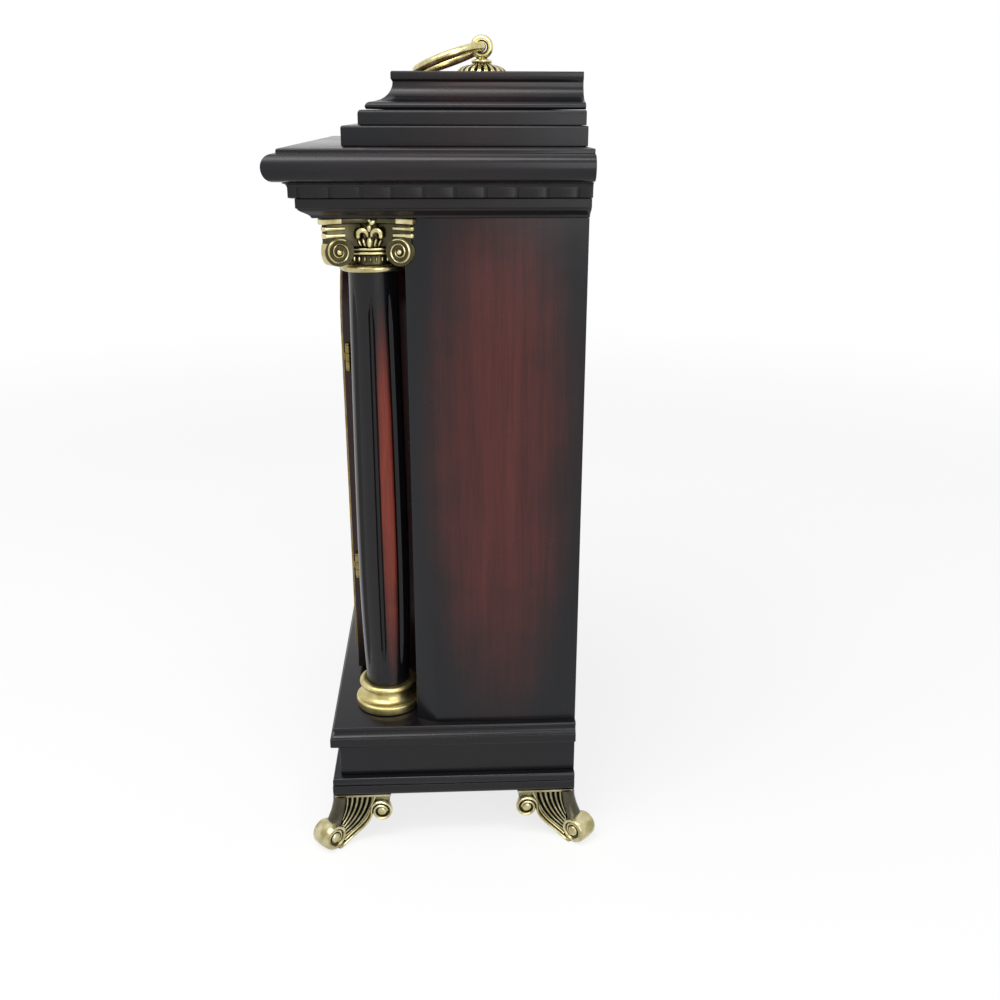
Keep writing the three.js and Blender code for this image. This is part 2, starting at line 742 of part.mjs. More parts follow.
// ---------------------------------------------------------------- feet
// A foot at a front right corner, with the corner of the base moulding at the origin. Its two
// wings run along -x and +y, and a scrolled roller stands on the diagonal outside the corner.
function foot() {
  const top = footHeight - seam;
  const under = top - footPlate;
  const L = footLength;
  const smallAt = [-(L - footSmallScroll), under - footSmallScroll * 1.75];
  const profile = [
    [-1.5, top - 0.3],
    ...arc(1.6, under - 1.5, 4.6, 180, 262, 4, under - 1.5 - footRollerRadius * 1.3),
    [0, footRollerRadius * 0.5],
    [-5.9, 1.8],
    [-13, 5.6],
    [-18, 9.6],
    [smallAt[0] + footSmallScroll * 0.5, smallAt[1] - footSmallScroll * 0.8],
    [smallAt[0] - footSmallScroll * 0.7, smallAt[1] + footSmallScroll * 0.6],
    [-L + 1.2, top - 0.3],
  ];
  const face = footInset;
  const wing = slab(profile, [face, face + footWeb]);
  const smallScroll = scroll(footSmallScroll, footWeb + 2, 0.9, 80, -1).translate([
    smallAt[0],
    face + footWeb / 2,
    smallAt[1],
  ]);
  let half = join(wing, smallScroll);
  for (let i = 0; i < footRibs; i++) {
    const t = (i + 0.5) / footRibs;
    const head = -2.6 - t * (L - 6);
    const tail = -1.2 - t * (L * 0.62);
    const tailZ = 5.2 + 9.5 * t ** 1.3;
    const wide = 1.5;
    const rib = [[head - wide, under - 0.2], [tail - 0.6, tailZ], [tail + 0.6, tailZ], [head + wide, under - 0.2]];
    half = join(half, slab(rib, [face - footRibHeight, face + 1]));
  }
  const plate = raise(
    [[-L, face - 1], [1 - face, face - 1], [1 - face, L], [-face - footWeb, L], [-face - footWeb, face + footWeb], [-L, face + footWeb]],
    [under, top],
  );
  const out = footRollerOut;
  const spine = slab(
    [
      [-13, under + 0.3],
      [-1.8, under + 0.3],
      ...arc(out + 3.4, under - 2, out + 5.8, 180, 250, 5, under - 2 - footRollerRadius * 1.75),
      [out, footRollerRadius],
      [out - 5, 1.4],
      [-8, 4.5],
      [-13, 12],
    ],
    [-footRollerLength * 0.36, footRollerLength * 0.36],
  );
  const roller = scroll(footRollerRadius, footRollerLength, 1.1, 265).translate([
    out,
    0,
    footRollerRadius - footPad,
  ]);
  const corner = join(spine, roller).rotate([0, 0, -45]);
  const ground = box([-L, L], [-L, L], [-footRollerRadius, 0]);
  return cut(join(plate, half, half.mirror([1, 1, 0]), corner), ground);
}

{
  const made = foot();
  const x = half + baseMouldingReach;
  const front = -(frontDepth + baseMouldingReach);
  place("foot_front_right", made.translate([x, front, 0]), brass);
  place("foot_front_left", made.mirror([1, 0, 0]).translate([-x, front, 0]), brass);
  place("foot_back_right", made.mirror([0, 1, 0]).translate([x, 0, 0]), brass);
  place("foot_back_left", made.mirror([0, 1, 0]).mirror([1, 0, 0]).translate([-x, 0, 0]), brass);
}

// ---------------------------------------------------------------- ring handle
function torus(radius, wire, around, along) {
  return solid(new THREE.TorusGeometry(radius, wire, along, around));
}

const handle = new THREE.Group();
handle.position.set(0, capMiddleY, topZ);
root.add(handle);

// A ribbed dome with a bore for the shank: rows of points round it, every second one drawn in.
{
  const around = rosetteRibs * 2;
  const rows = [
    [rosetteRadius, seam, 0],
    [rosetteRadius, seam + 0.8, 0],
    ...arc(0, seam + 0.8, rosetteRadius, 14, 64, 4, rosetteHeight - 0.6).map(([r, z]) => [r, z, 0.9]),
    [neckRadius - 0.4, rosetteHeight, 0],
  ];
  const points = [];
  for (const [r, z, groove] of rows) {
    for (let i = 0; i < around; i++) {
      const angle = (2 * Math.PI * i) / around;
      const at = r - (i % 2) * groove;
      points.push([at * Math.cos(angle), at * Math.sin(angle), z - (i % 2) * groove * 0.6]);
    }
  }
  place(
    "handle_rosette",
    cut(
      skin(points, around, rows.length),
      rod(shankRadius + clearance, "z", [0, 0, 0], -1, rosetteHeight + 2, 12),
    ),
    brass,
    handle,
  );
}

// A turned collar and neck under an eye, with the shank that goes down into the cap.
{
  const collarZ = rosetteHeight + seam;
  const collar = revolve(
    [
      [0, collarZ],
      [neckRadius - 0.5, collarZ],
      [neckRadius, collarZ + 0.8],
      [neckRadius - 0.5, collarZ + 1.5],
      [neckRadius - 2.2, collarZ + 1.9],
      [shankRadius, collarZ + neckHeight],
      [0, collarZ + neckHeight],
    ],
    20,
  );
  const shank = rod(shankRadius, "z", [0, 0, 0], -shankLength, eyeRise - eyeRadius, 12);
  const eye = torus(eyeRadius, eyeWire, 22, 8).rotate([0, 90, 0]).translate([0, 0, eyeRise]);
  place("handle_post", join(shank, collar, eye), brass, handle);
}

// The ring hangs through the eye and lies folded to the front, resting on the cap.
const ringRest = Math.asin((eyeRise - handleWire - clearance) / (2 * handleRingRadius));
{
  const ring = torus(handleRingRadius, handleWire, 40, 10)
    .translate([0, handleRingRadius, 0])
    .rotate([(ringRest * 180) / Math.PI + 180, 0, 0])
    .translate([0, 0, eyeRise]);
  place("handle_ring", ring, brass, handle);
}

// ---------------------------------------------------------------- hinges
const hingeOut = hingeBarrelRadius + clearance; // edge of the door to the hinge axis

// Knuckles on the given share of the hinge's height, bored for the pin.
function knuckle(from, to) {
  return rod(hingeBarrelRadius, "z", [0, 0, 0], from, to, 12);
}
const hingeBore = () => rod(hingeBoreRadius, "z", [0, 0, 0], -hingeHeight, hingeHeight, 12);
const third = hingeHeight / 6;

// The three parts of a hinge whose door opens at its right edge towards -y, axis at the origin.
// The case leaf lies either against a side edge or flat on the board behind.
function hingeParts(caseLeafFlat) {
  const end = hingeHeight / 2;
  const inner = third + clearance / 2;
  const leaf = caseLeafFlat
    ? [[hingeBarrelRadius + clearance, hingeLeafWidth], caseLeafFlat]
    : [[-hingeBarrelRadius, hingeLeafThickness - hingeBarrelRadius], [hingeBarrelRadius + clearance, hingeLeafWidth]];
  const tab = caseLeafFlat
    ? [[0, hingeLeafWidth], caseLeafFlat]
    : [[-hingeBarrelRadius, hingeLeafThickness - hingeBarrelRadius], [0, hingeLeafWidth]];
  let caseLeaf = box(leaf[0], leaf[1], [-end, end]);
  for (const [from, to] of [[-end, -inner], [inner, end]]) {
    caseLeaf = join(caseLeaf, box(tab[0], tab[1], [from, to]), knuckle(from, to));
  }
  const reach = third - clearance / 2;
  const doorLeaf = join(
    box([-hingeBarrelRadius, hingeLeafThickness - hingeBarrelRadius], [-hingeAxisBehindFace + 0.1, 0], [-reach, reach]),
    knuckle(-reach, reach),
  );
  const head = (z) => rod(hingeBarrelRadius - 0.2, "z", [0, 0, 0], z, z + 0.9, 12);
  const pin = join(
    rod(hingePinRadius, "z", [0, 0, 0], -end - 0.4, end + 0.4, 12),
    head(end + 0.15),
    head(-end - 1.05),
  );
  return { caseLeaf: cut(caseLeaf, hingeBore()), doorLeaf: cut(doorLeaf, hingeBore()), pin };
}

// ---------------------------------------------------------------- front door
{
  const opening = arched(openingHalf, openingFootZ);
  const frame = slab(arched(doorHalf, doorFootZ), [doorFaceY, doorBackY], [opening]);
  const rebate = slab(arched(openingHalf + glassLap, openingFootZ - glassLap), [
    glassFaceY - clearance,
    doorBackY + 1,
  ]);
  place("door_frame", cut(frame, rebate), mahogany);
  place(
    "door_glass",
    slab(arched(openingHalf + glassLap - clearance, openingFootZ - glassLap + clearance), [
      glassFaceY,
      glassFaceY + glassThickness,
    ]),
    glass,
  );
  const bezelFace = doorFaceY - seam - bezelThickness;
  place(
    "door_bezel",
    slab(arched(openingHalf + bezelWidth, openingFootZ - bezelWidth), [bezelFace, doorFaceY - seam], [opening]),
    brass,
  );
  const knob = revolve(
    [
      [0, 0],
      [2.8, 0],
      [2.8, 0.8],
      [1.5, 1.4],
      [1.5, 3],
      ...arc(0, doorKnobLength - doorKnobRadius, doorKnobRadius, -35, 75, 6),
      [0, doorKnobLength],
    ],
    16,
  ).rotate([90, 0, 0]);
  place("door_knob", knob, brass).position.set(
    -(doorHalf - doorStile / 2 + 1.2),
    doorFaceY - seam,
    doorFootZ + (springZ - doorFootZ) * 0.42,
  );
  const parts = hingeParts();
  for (const [z, name] of [[upperHingeHeight, "upper"], [lowerHingeHeight, "lower"]]) {
    const at = [doorHalf + hingeOut, doorFaceY + hingeAxisBehindFace, doorFootZ + z];
    place(`door_hinge_${name}_case_leaf`, parts.caseLeaf, brass).position.set(...at);
    place(`door_hinge_${name}_door_leaf`, parts.doorLeaf, brass).position.set(...at);
    place(`door_hinge_${name}_pin`, parts.pin, brass).position.set(...at);
  }
}

// ---------------------------------------------------------------- back door
{
  const outerFace = backPanelY + clearance + backDoorThickness;
  const doorEdge = backOpening.x + backDoorLap;
  const z = [backOpening.z[0] - backDoorLap, backOpening.z[1] + backDoorLap];
  place("back_door", slab(rectangle(doorEdge, z), [backPanelY + clearance, outerFace]), mahogany);
  const knob = revolve(
    [[0, 0], [2.2, 0], [1.6, 1.2], [1.8, 1.8], [backKnobRadius, 2.4], [backKnobRadius, 3.4], [backKnobRadius - 1, backKnobLength], [0, backKnobLength]],
    16,
  ).rotate([-90, 0, 0]);
  place("back_door_knob", knob, brass).position.set(doorEdge - 9, outerFace + seam, (z[0] + z[1]) / 2);
  const axisY = outerFace - hingeAxisBehindFace;
  const seat = axisY - backPanelY - seam; // hinge axis to the panel's outer face
  const parts = hingeParts([seat - hingeLeafThickness, seat]);
  for (const [share, name] of [[0.82, "upper"], [0.18, "lower"]]) {
    const at = [-(doorEdge + hingeOut), axisY, z[0] + (z[1] - z[0]) * share];
    for (const [made, part] of [[parts.caseLeaf, "case_leaf"], [parts.doorLeaf, "door_leaf"], [parts.pin, "pin"]]) {
      place(`back_hinge_${name}_${part}`, made.rotate([0, 0, 180]), brass).position.set(...at);
    }
  }
}

// ---------------------------------------------------------------- dial, hands and movement
const time = new THREE.Group(); // centred on the hands' arbor, at the face of the dial
time.position.set(0, dialY, springZ);
root.add(time);
const disc = (radius, segments = 24) => arc(0, 0, radius, 0, 360 - 360 / segments, segments - 1);
const nutFront = -(seam + fixingNutThickness);
const handY = [nutFront - clearance - handGap, nutFront - clearance - 2 * handGap - handThickness];
const movementFront = dialThickness + clearance;
const movementBack = movementFront + movementDepth;
const rodY = movementBack + rodBehindMovement;

{
  const edge = openingHalf - clearance;
  const plan = [[-edge, -dialSkirt], [edge, -dialSkirt], ...arc(0, 0, edge, 0, 180, 20)];
  place("dial_plate", slab(plan, [0, dialThickness], [disc(bossRadius + clearance, 16)]), silvered, time);
  place(
    "chapter_ring",
    slab(disc(chapterOuterRadius, 40), [-seam - chapterThickness, -seam], [disc(chapterInnerRadius, 32)]),
    ivory,
    time,
  );
}

// A spade hand with a round hub, pointing up; turned clockwise by the given degrees.
function hand(length, hub, spade, degrees, y) {
  const at = length * 0.68;
  const blade = [
    [-0.8, 0],
    [0.8, 0],
    [0.45, at - spade],
    [spade, at],
    [0.5, at + spade * 1.3],
    [0, length],
    [-0.5, at + spade * 1.3],
    [-spade, at],
    [-0.45, at - spade],
  ];
  const made = join(slab(blade, [0, handThickness]), rod(hub, "y", [0, 0, 0], -0.15, handThickness + 0.15, 16));
  const bore = rod(arborRadius + clearance, "y", [0, 0, 0], -2, 2, 12);
  return cut(made, bore).rotate([0, degrees, 0]).translate([0, y, 0]);
}
place("hour_hand", hand(hourHandLength, hourBushRadius, 3, -55, handY[0]), blackSteel, time);
place("minute_hand", hand(minuteHandLength, hourBushRadius, 2.2, 55, handY[1]), blackSteel, time);
{
  const nutBack = handY[1] - 0.15 - seam;
  const nut = rod(handNutRadius, "y", [0, 0, 0], nutBack - handNutThickness, nutBack, 12);
  const bore = rod(arborRadius + clearance, "y", [0, 0, 0], nutBack - handNutThickness - 1, nutBack + 1, 12);
  place("hand_nut", cut(nut, bore), brass, time);

  const fixing = rod(fixingNutRadius, "y", [0, 0, 0], nutFront, -seam, 6);
  const fixingBore = rod(bossRadius + clearance, "y", [0, 0, 0], nutFront - 1, 1, 16);
  place("fixing_nut", cut(fixing, fixingBore), brass, time);

  const x = movementWidth / 2;
  const z = movementHeight / 2;
  const c = movementCorner;
  const body = slab(
    [
      ...arc(x - c, z - c, c, 0, 90, 3),
      ...arc(c - x, z - c, c, 90, 180, 3),
      ...arc(c - x, c - z, c, 180, 270, 3),
      ...arc(x - c, c - z, c, 270, 360, 3),
    ],
    [movementFront, movementBack],
  );
  const bay = box(
    [batteryOffset - batteryRadius - clearance, batteryOffset + batteryRadius + clearance],
    [movementBack - 2 * batteryRadius - clearance * 2, movementBack + 1],
    [-batteryLength / 2 - 1, batteryLength / 2 + 1],
  );
  const boss = rod(bossRadius, "y", [0, 0, 0], nutFront - 0.2, movementFront + 1, 16);
  const arbor = rod(arborRadius, "y", [0, 0, 0], nutBack - handNutThickness, movementFront + 1, 12);
  const knobPin = rod(pivotRadius, "y", [0, 0, 0], movementBack - 1, movementBack + settingKnobThickness, 12);
  const pivot = rod(pivotRadius, "y", [0, 0, -pivotDrop], movementBack - 1, rodY + rodThickness + 1.2, 12);
  const pivotHead = rod(pivotRadius + 1, "y", [0, 0, -pivotDrop], rodY + rodThickness + clearance, rodY + rodThickness + 1.3, 12);
  place("movement_case", join(cut(body, bay), boss, arbor, knobPin, pivot, pivotHead), blackPlastic, time);

  const cell = join(
    rod(batteryRadius, "z", [0, 0, 0], -batteryLength / 2, batteryLength / 2 - 1.2, 18),
    rod(2.6, "z", [0, 0, 0], batteryLength / 2 - 2, batteryLength / 2, 12),
  );
  place("battery", cell, batteryWrap, time).position.set(batteryOffset, movementBack - batteryRadius - clearance, 0);

  const teeth = Array.from({ length: 32 }, (_, i) => {
    const r = settingKnobRadius - (i % 2) * 0.5;
    const angle = rad((360 * i) / 32);
    return [r * Math.cos(angle), r * Math.sin(angle)];
  });
  place(
    "setting_knob",
    slab(teeth, [movementBack + clearance, movementBack + settingKnobThickness], [disc(pivotRadius + clearance, 12)]),
    blackPlastic,
    time,
  );
}

// ---------------------------------------------------------------- pendulum
{
  const pendulum = new THREE.Group(); // centred on its pivot
  pendulum.position.set(0, rodY, -pivotDrop);
  time.add(pendulum);
  const thick = [0, rodThickness];
  const rodFoot = openingFootZ + rodFootGap - (springZ - pivotDrop);
  const pendulumLength = -rodFoot - rodThread - ratingNutHeight - bobRadius; // pivot to bob's middle
  const strip = slab([[-rodWidth / 2, rodFoot], [rodWidth / 2, rodFoot], [rodWidth / 2, 0], [-rodWidth / 2, 0]], thick);
  const eye = rod(rodEyeRadius, "y", [0, 0, 0], 0, rodThickness, 16);
  const bore = rod(pivotRadius + clearance, "y", [0, 0, 0], -1, 2, 12);
  place("pendulum_rod", cut(join(strip, eye), bore), brass, pendulum);

  const slot = (from, to) =>
    box(
      [-rodWidth / 2 - clearance, rodWidth / 2 + clearance],
      [-clearance, rodThickness + clearance],
      [from, to],
    );
  const lens = revolve(
    [
      [0, -bobThickness / 2],
      [bobRadius * 0.55, -bobThickness * 0.4],
      [bobRadius - 0.8, -0.9],
      [bobRadius, -0.6],
      [bobRadius, 0.6],
      [bobRadius - 0.8, 0.9],
      [bobRadius * 0.55, bobThickness * 0.4],
      [0, bobThickness / 2],
    ],
    32,
  )
    .rotate([90, 0, 0])
    .translate([0, rodThickness / 2, -pendulumLength]);
  place(
    "pendulum_bob",
    cut(lens, slot(-pendulumLength - bobRadius - 2, -pendulumLength + bobRadius + 2)),
    brass,
    pendulum,
  );
  const nutTop = -(pendulumLength + bobRadius + seam);
  const nut = rod(ratingNutRadius, "z", [0, rodThickness / 2, 0], nutTop - ratingNutHeight, nutTop, 16);
  place("rating_nut", cut(nut, slot(nutTop - ratingNutHeight - 1, nutTop + 1)), brass, pendulum);
}

// The whole clock over the middle of its width and depth.
const bounds = new THREE.Box3().setFromObject(root);
root.position.y = -(bounds.min.y + bounds.max.y) / 2;

export default root;
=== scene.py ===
# A bracket clock in dark lacquered mahogany with antique brass mounts: a moulded base on scroll
# feet, a case with a fluted column at each front corner, a stepped top with a ring handle, an
# arched glazed door, and a battery movement with a pendulum behind it. Metres, +Z up, and the
# door faces -Y.
import json
import math

import bmesh
import bpy
from mathutils import Matrix, Vector

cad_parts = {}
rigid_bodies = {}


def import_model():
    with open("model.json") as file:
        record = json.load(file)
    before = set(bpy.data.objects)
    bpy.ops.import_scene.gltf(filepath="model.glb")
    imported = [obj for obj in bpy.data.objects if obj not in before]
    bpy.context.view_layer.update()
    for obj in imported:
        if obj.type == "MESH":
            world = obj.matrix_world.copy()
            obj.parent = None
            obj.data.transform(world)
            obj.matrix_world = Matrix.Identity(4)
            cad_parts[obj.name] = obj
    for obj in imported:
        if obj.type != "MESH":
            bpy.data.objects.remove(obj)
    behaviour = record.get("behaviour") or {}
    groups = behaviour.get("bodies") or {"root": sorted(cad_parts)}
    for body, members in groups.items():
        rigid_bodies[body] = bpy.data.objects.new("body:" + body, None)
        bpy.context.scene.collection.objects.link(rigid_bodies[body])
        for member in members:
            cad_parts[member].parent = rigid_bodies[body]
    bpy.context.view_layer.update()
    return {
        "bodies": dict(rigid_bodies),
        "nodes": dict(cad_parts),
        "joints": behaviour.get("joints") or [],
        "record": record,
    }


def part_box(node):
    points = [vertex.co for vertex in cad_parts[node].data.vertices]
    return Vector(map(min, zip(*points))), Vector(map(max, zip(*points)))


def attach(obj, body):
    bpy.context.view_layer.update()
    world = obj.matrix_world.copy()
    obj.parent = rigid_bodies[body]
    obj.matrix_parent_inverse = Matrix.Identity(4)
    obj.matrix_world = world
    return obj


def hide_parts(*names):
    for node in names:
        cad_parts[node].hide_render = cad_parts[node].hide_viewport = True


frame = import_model()
MM = 0.001

# ---------------------------------------------------------------- base boards
# Three solid mahogany boards glued in a stack: a moulded foot, a plain plinth and a moulded top
# board. Their edges are run on a spindle moulder, stained nearly black and sprayed with lacquer,
# with a redder patch left in the middle of each face.


def srgb(code):
    """A hex colour as Blender's linear RGBA."""
    parts = [int(code[i : i + 2], 16) / 255 for i in (1, 3, 5)]
    return [p / 12.92 if p <= 0.04045 else ((p + 0.055) / 1.055) ** 2.4 for p in parts] + [1.0]


def new_material(name):
    material = bpy.data.materials.new(name)
    material.use_nodes = True
    return material, material.node_tree, material.node_tree.nodes["Principled BSDF"]


def add(tree, kind, inputs=(), **settings):
    """A node with its settings, and its inputs set to values or linked to sockets."""
    made = tree.nodes.new("ShaderNode" + kind)
    for name, value in settings.items():
        setattr(made, name, value)
    for name, value in dict(inputs).items():
        if isinstance(value, bpy.types.NodeSocket):
            tree.links.new(value, made.inputs[name])
        else:
            made.inputs[name].default_value = value
    return made


def lacquered_mahogany(name, middle, reach, grain, heart, edge="#0e0f13"):
    """Mahogany under tinted lacquer. The red heart fades to the dark edge over an ellipsoid of the
    given reach; grain is the direction that the pores run in. A satin coat carries the light."""
    material, tree, shader = new_material(name)
    place = add(tree, "TexCoord").outputs["Object"]
    patch = add(
        tree, "Mapping", {"Vector": place, "Location": middle, "Scale": reach}, vector_type="TEXTURE"
    )
    fade = add(tree, "TexGradient", {"Vector": patch.outputs[0]}, gradient_type="SPHERICAL")
    blotch = add(tree, "TexNoise", {"Vector": place, "Scale": 45.0, "Detail": 3.0})
    uneven = add(tree, "MapRange", {0: blotch.outputs[0], 1: 0.3, 2: 0.7, 3: 0.75, 4: 1.15})
    glow = add(tree, "Math", {0: fade.outputs[1], 1: uneven.outputs[0]}, operation="MULTIPLY")
    heat = add(
        tree, "MapRange", {0: glow.outputs[0], 1: 0.0, 2: 0.62}, interpolation_type="SMOOTHSTEP"
    )
    # Pores are streaks about 0.35 mm wide and 12 mm long.
    fine = [1 / (0.35 * MM * 2)] * 3
    fine[grain] = 1 / (12 * MM * 2)
    pores = add(tree, "Mapping", {"Vector": place, "Scale": fine})
    streak = add(
        tree, "TexNoise", {"Vector": pores.outputs[0], "Scale": 1.0, "Detail": 4.0, "Roughness": 0.65}
    )
    # Broader light and dark bands of the board, about 7 mm across.
    broad = [1 / (7 * MM)] * 3
    broad[grain] = 1 / (160 * MM)
    bands = add(tree, "Mapping", {"Vector": place, "Scale": broad})
    band = add(
        tree, "TexNoise", {"Vector": bands.outputs[0], "Scale": 1.0, "Detail": 2.0, "Distortion": 0.4}
    )
    heart_range = add(tree, "ValToRGB", {"Fac": band.outputs[0]})
    heart_range.color_ramp.elements[0].position = 0.35
    heart_range.color_ramp.elements[0].color = [0.62 * c for c in srgb(heart)[:3]] + [1]
    heart_range.color_ramp.elements[1].position = 0.7
    heart_range.color_ramp.elements[1].color = srgb(heart)
    tone = add(
        tree, "Mix", {0: heat.outputs[0], 6: srgb(edge), 7: heart_range.outputs[0]}, data_type="RGBA"
    )
    dark = add(tree, "MapRange", {0: streak.outputs[0], 1: 0.38, 2: 0.6, 3: 0.8, 4: 1.06})
    grained = add(
        tree, "Mix", {0: 1.0, 6: tone.outputs[2], 7: dark.outputs[0]},
        data_type="RGBA", blend_type="MULTIPLY",
    )
    # Stray dust: pale specks 0.4 mm across, one or two in a patch of 30 mm.
    cells = add(tree, "TexVoronoi", {"Vector": place, "Scale": 1 / (16 * MM)})
    near = add(tree, "Math", {0: cells.outputs["Distance"], 1: 0.018}, operation="LESS_THAN")
    pick = add(tree, "SeparateColor", {0: cells.outputs["Color"]})
    some = add(tree, "Math", {0: pick.outputs[0], 1: 0.8}, operation="GREATER_THAN")
    speck = add(tree, "Math", {0: near.outputs[0], 1: some.outputs[0]}, operation="MULTIPLY")
    dusty = add(
        tree, "Mix", {0: speck.outputs[0], 6: grained.outputs[2], 7: srgb("#b9b4b2")}, data_type="RGBA"
    )
    tree.links.new(dusty.outputs[2], shader.inputs["Base Color"])
    # The lacquer is rubbed satin, with faint clouds of wear where hands and cloths have been.
    wear = add(tree, "TexNoise", {"Vector": place, "Scale": 28.0, "Detail": 6.0, "Roughness": 0.6})
    sheen = add(tree, "MapRange", {0: wear.outputs[0], 1: 0.3, 2: 0.75, 3: 0.19, 4: 0.31})
    tree.links.new(sheen.outputs[0], shader.inputs["Roughness"])
    shader.inputs["IOR"].default_value = 1.5
    shader.inputs["Specular IOR Level"].default_value = 0.32
    # The pores just show in the lacquer as grooves of a hundredth of a millimetre.
    dent = add(tree, "Bump", {"Height": streak.outputs[0], "Strength": 0.25, "Distance": 0.02 * MM})
    tree.links.new(dent.outputs[0], shader.inputs["Normal"])
    return material


def put(name, mesh, material, body, stands_for=()):
    """A finished mesh as a piece that rides on a body and stands for the named nodes."""
    made = bpy.data.objects.new(name, mesh)
    bpy.context.collection.objects.link(made)
    mesh.materials.clear()
    mesh.materials.append(material)
    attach(made, body)
    if stands_for:
        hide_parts(*stands_for)
    return made


def eased(node, material, body, edge=0.0, smooth=32, segments=2):
    """A node's own shape with its corners merged, its curved faces shaded smooth and its sharp
    edges rounded, as sanding leaves them."""
    mesh = frame["nodes"][node].data.copy()
    bm = bmesh.new()
    bm.from_mesh(mesh)
    bmesh.ops.remove_doubles(bm, verts=bm.verts, dist=0.003 * MM)
    bmesh.ops.dissolve_limit(
        bm, angle_limit=math.radians(0.5), verts=bm.verts, edges=bm.edges,
        use_dissolve_boundaries=False,
    )
    bmesh.ops.recalc_face_normals(bm, faces=bm.faces)
    bm.to_mesh(mesh)
    bm.free()
    mesh.name = node
    mesh.shade_smooth()
    mesh.set_sharp_from_angle(angle=math.radians(smooth))
    made = put(node + "_finish", mesh, material, body, (node,))
    if edge:
        round_off = made.modifiers.new("edges", "BEVEL")
        round_off.width = edge
        round_off.segments = segments
        round_off.limit_method = "ANGLE"
        round_off.angle_limit = math.radians(smooth)
        round_off.harden_normals = True
    return made


def centre_of(node):
    low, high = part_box(node)
    return [(low[i] + high[i]) / 2 for i in range(3)]


for node, heart in (("base_moulding", "#1f1516"), ("plinth", "#191416"), ("base_board", "#211516")):
    stained = lacquered_mahogany(node + "_stain", centre_of(node), [0.16, 0.1, 0.05], 1, heart)
    eased(node, stained, "case", 0.35 * MM, smooth=38)

# ---------------------------------------------------------------- case
# Two side panels with splayed front edges, a front board with an arched opening and its deep
# surround, and a plain back. The panels' grain stands upright, and the sprayed tone goes from a
# deep red middle to almost black at the edges.
FLAT_RUN = 78.0  # flat part of a panel, from the back edge forwards
SPLAY_RUN = 10.6
SPLAY = math.tan(math.radians(27))


def finish(bm, name, smooth=40):
    """A bmesh in millimetres as a closed, outward-facing mesh in metres, smooth but for its
    sharp edges."""
    bmesh.ops.remove_doubles(bm, verts=bm.verts, dist=0.001)
    bmesh.ops.recalc_face_normals(bm, faces=bm.faces)
    bmesh.ops.scale(bm, verts=bm.verts, vec=(MM, MM, MM))
    mesh = bpy.data.meshes.new(name)
    bm.to_mesh(mesh)
    bm.free()
    mesh.shade_smooth()
    mesh.set_sharp_from_angle(angle=math.radians(smooth))
    return mesh


def points_of(geom):
    """The points among the things that an operator made."""
    return [g for g in geom if isinstance(g, bmesh.types.BMVert)]


for side in ("right", "left"):
    node = "side_panel_" + side
    low, high = (Vector(c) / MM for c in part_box(node))
    face, inner, outward = (high.x, low.x, 1) if side == "right" else (low.x, high.x, -1)
    flat = high.y - FLAT_RUN
    nose = flat - SPLAY_RUN
    bm = bmesh.new()
    toe = face - outward * (flat - nose) * SPLAY
    plan = [(face, high.y), (inner, high.y), (inner, nose), (toe, nose), (face, flat)]
    board = bm.faces.new([bm.verts.new((x, y, low.z)) for x, y in plan])
    raised = bmesh.ops.extrude_face_region(bm, geom=[board])["geom"]
    bmesh.ops.translate(bm, verts=points_of(raised), vec=(0, 0, high.z - low.z))
    upright = [e for e in bm.edges if abs(e.verts[0].co.z - e.verts[1].co.z) > 1]
    bmesh.ops.bevel(
        bm, geom=upright, offset=0.5, segments=3, affect="EDGES", profile=0.5, material=-1
    )
    middle = [face * MM, (high.y - 42) * MM, ((low.z + high.z) / 2 + 22) * MM]
    stained = lacquered_mahogany(node + "_stain", middle, [0.09, 0.046, 0.185], 2, "#4e201d")
    put("veneered_" + node, finish(bm, node, 20), stained, "case", (node,))
for node in ("front_panel", "arch_surround"):
    stained = lacquered_mahogany(node + "_stain", centre_of(node), [0.16, 0.1, 0.2], 2, "#371a18")
    eased(node, stained, "case", 0.4 * MM, smooth=38)
back_stain = lacquered_mahogany("back_stain", centre_of("back_panel"), [0.13, 0.1, 0.2], 2, "#2e1a17")
eased("back_panel", back_stain, "case", 0.3 * MM)

# ---------------------------------------------------------------- entablature
# Three moulded boards under the steps: an architrave, a band of flat dentils, and a thick
# rounded cornice, mitred at the front corners and glued.
for node, heart in (
    ("architrave_moulding", "#1f1415"),
    ("dentil_moulding", "#1c1517"),
    ("cornice_board", "#24171a"),
):
    stained = lacquered_mahogany(node + "_stain", centre_of(node), [0.2, 0.12, 0.05], 1, heart)
    eased(node, stained, "case", 0.25 * MM, smooth=38)

# ---------------------------------------------------------------- stepped top
# Two plain mahogany steps and a hollowed cap, run on a spindle moulder and glued in a stack,
# each with a redder patch sprayed in the middle of its edge.
for node, heart in (("lower_step", "#351a19"), ("upper_step", "#301819"), ("cap_moulding", "#3a1b1a")):
    low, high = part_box(node)
    reach = [(high[0] - low[0]) * 0.62, (high[1] - low[1]) * 0.62, 0.03]
    stained = lacquered_mahogany(node + "_stain", centre_of(node), reach, 1, heart)
    eased(node, stained, "case", 0.3 * MM, smooth=38)

# ---------------------------------------------------------------- column shafts
# Turned mahogany with a swelling waist and eight flutes cut with a router that run out in a
# point at both ends. Painted shade darkens the flutes towards black with their depth, and a
# painted sheen makes the band that faces out a brighter red than the rest of the stain.
FLUTES = 8
FLUTE_DEPTH = 1.5
FLUTE_WIDTH = 14.0  # degrees
PER_FLUTE = 24
RING_TALL = 15.6
SWELL = [  # share of the height, and the radius there
    (0.0, 11.7), (0.08, 12.5), (0.2, 13.5), (0.32, 13.9),
    (0.5, 13.7), (0.7, 13.2), (0.88, 12.6), (1.0, 12.2),
]


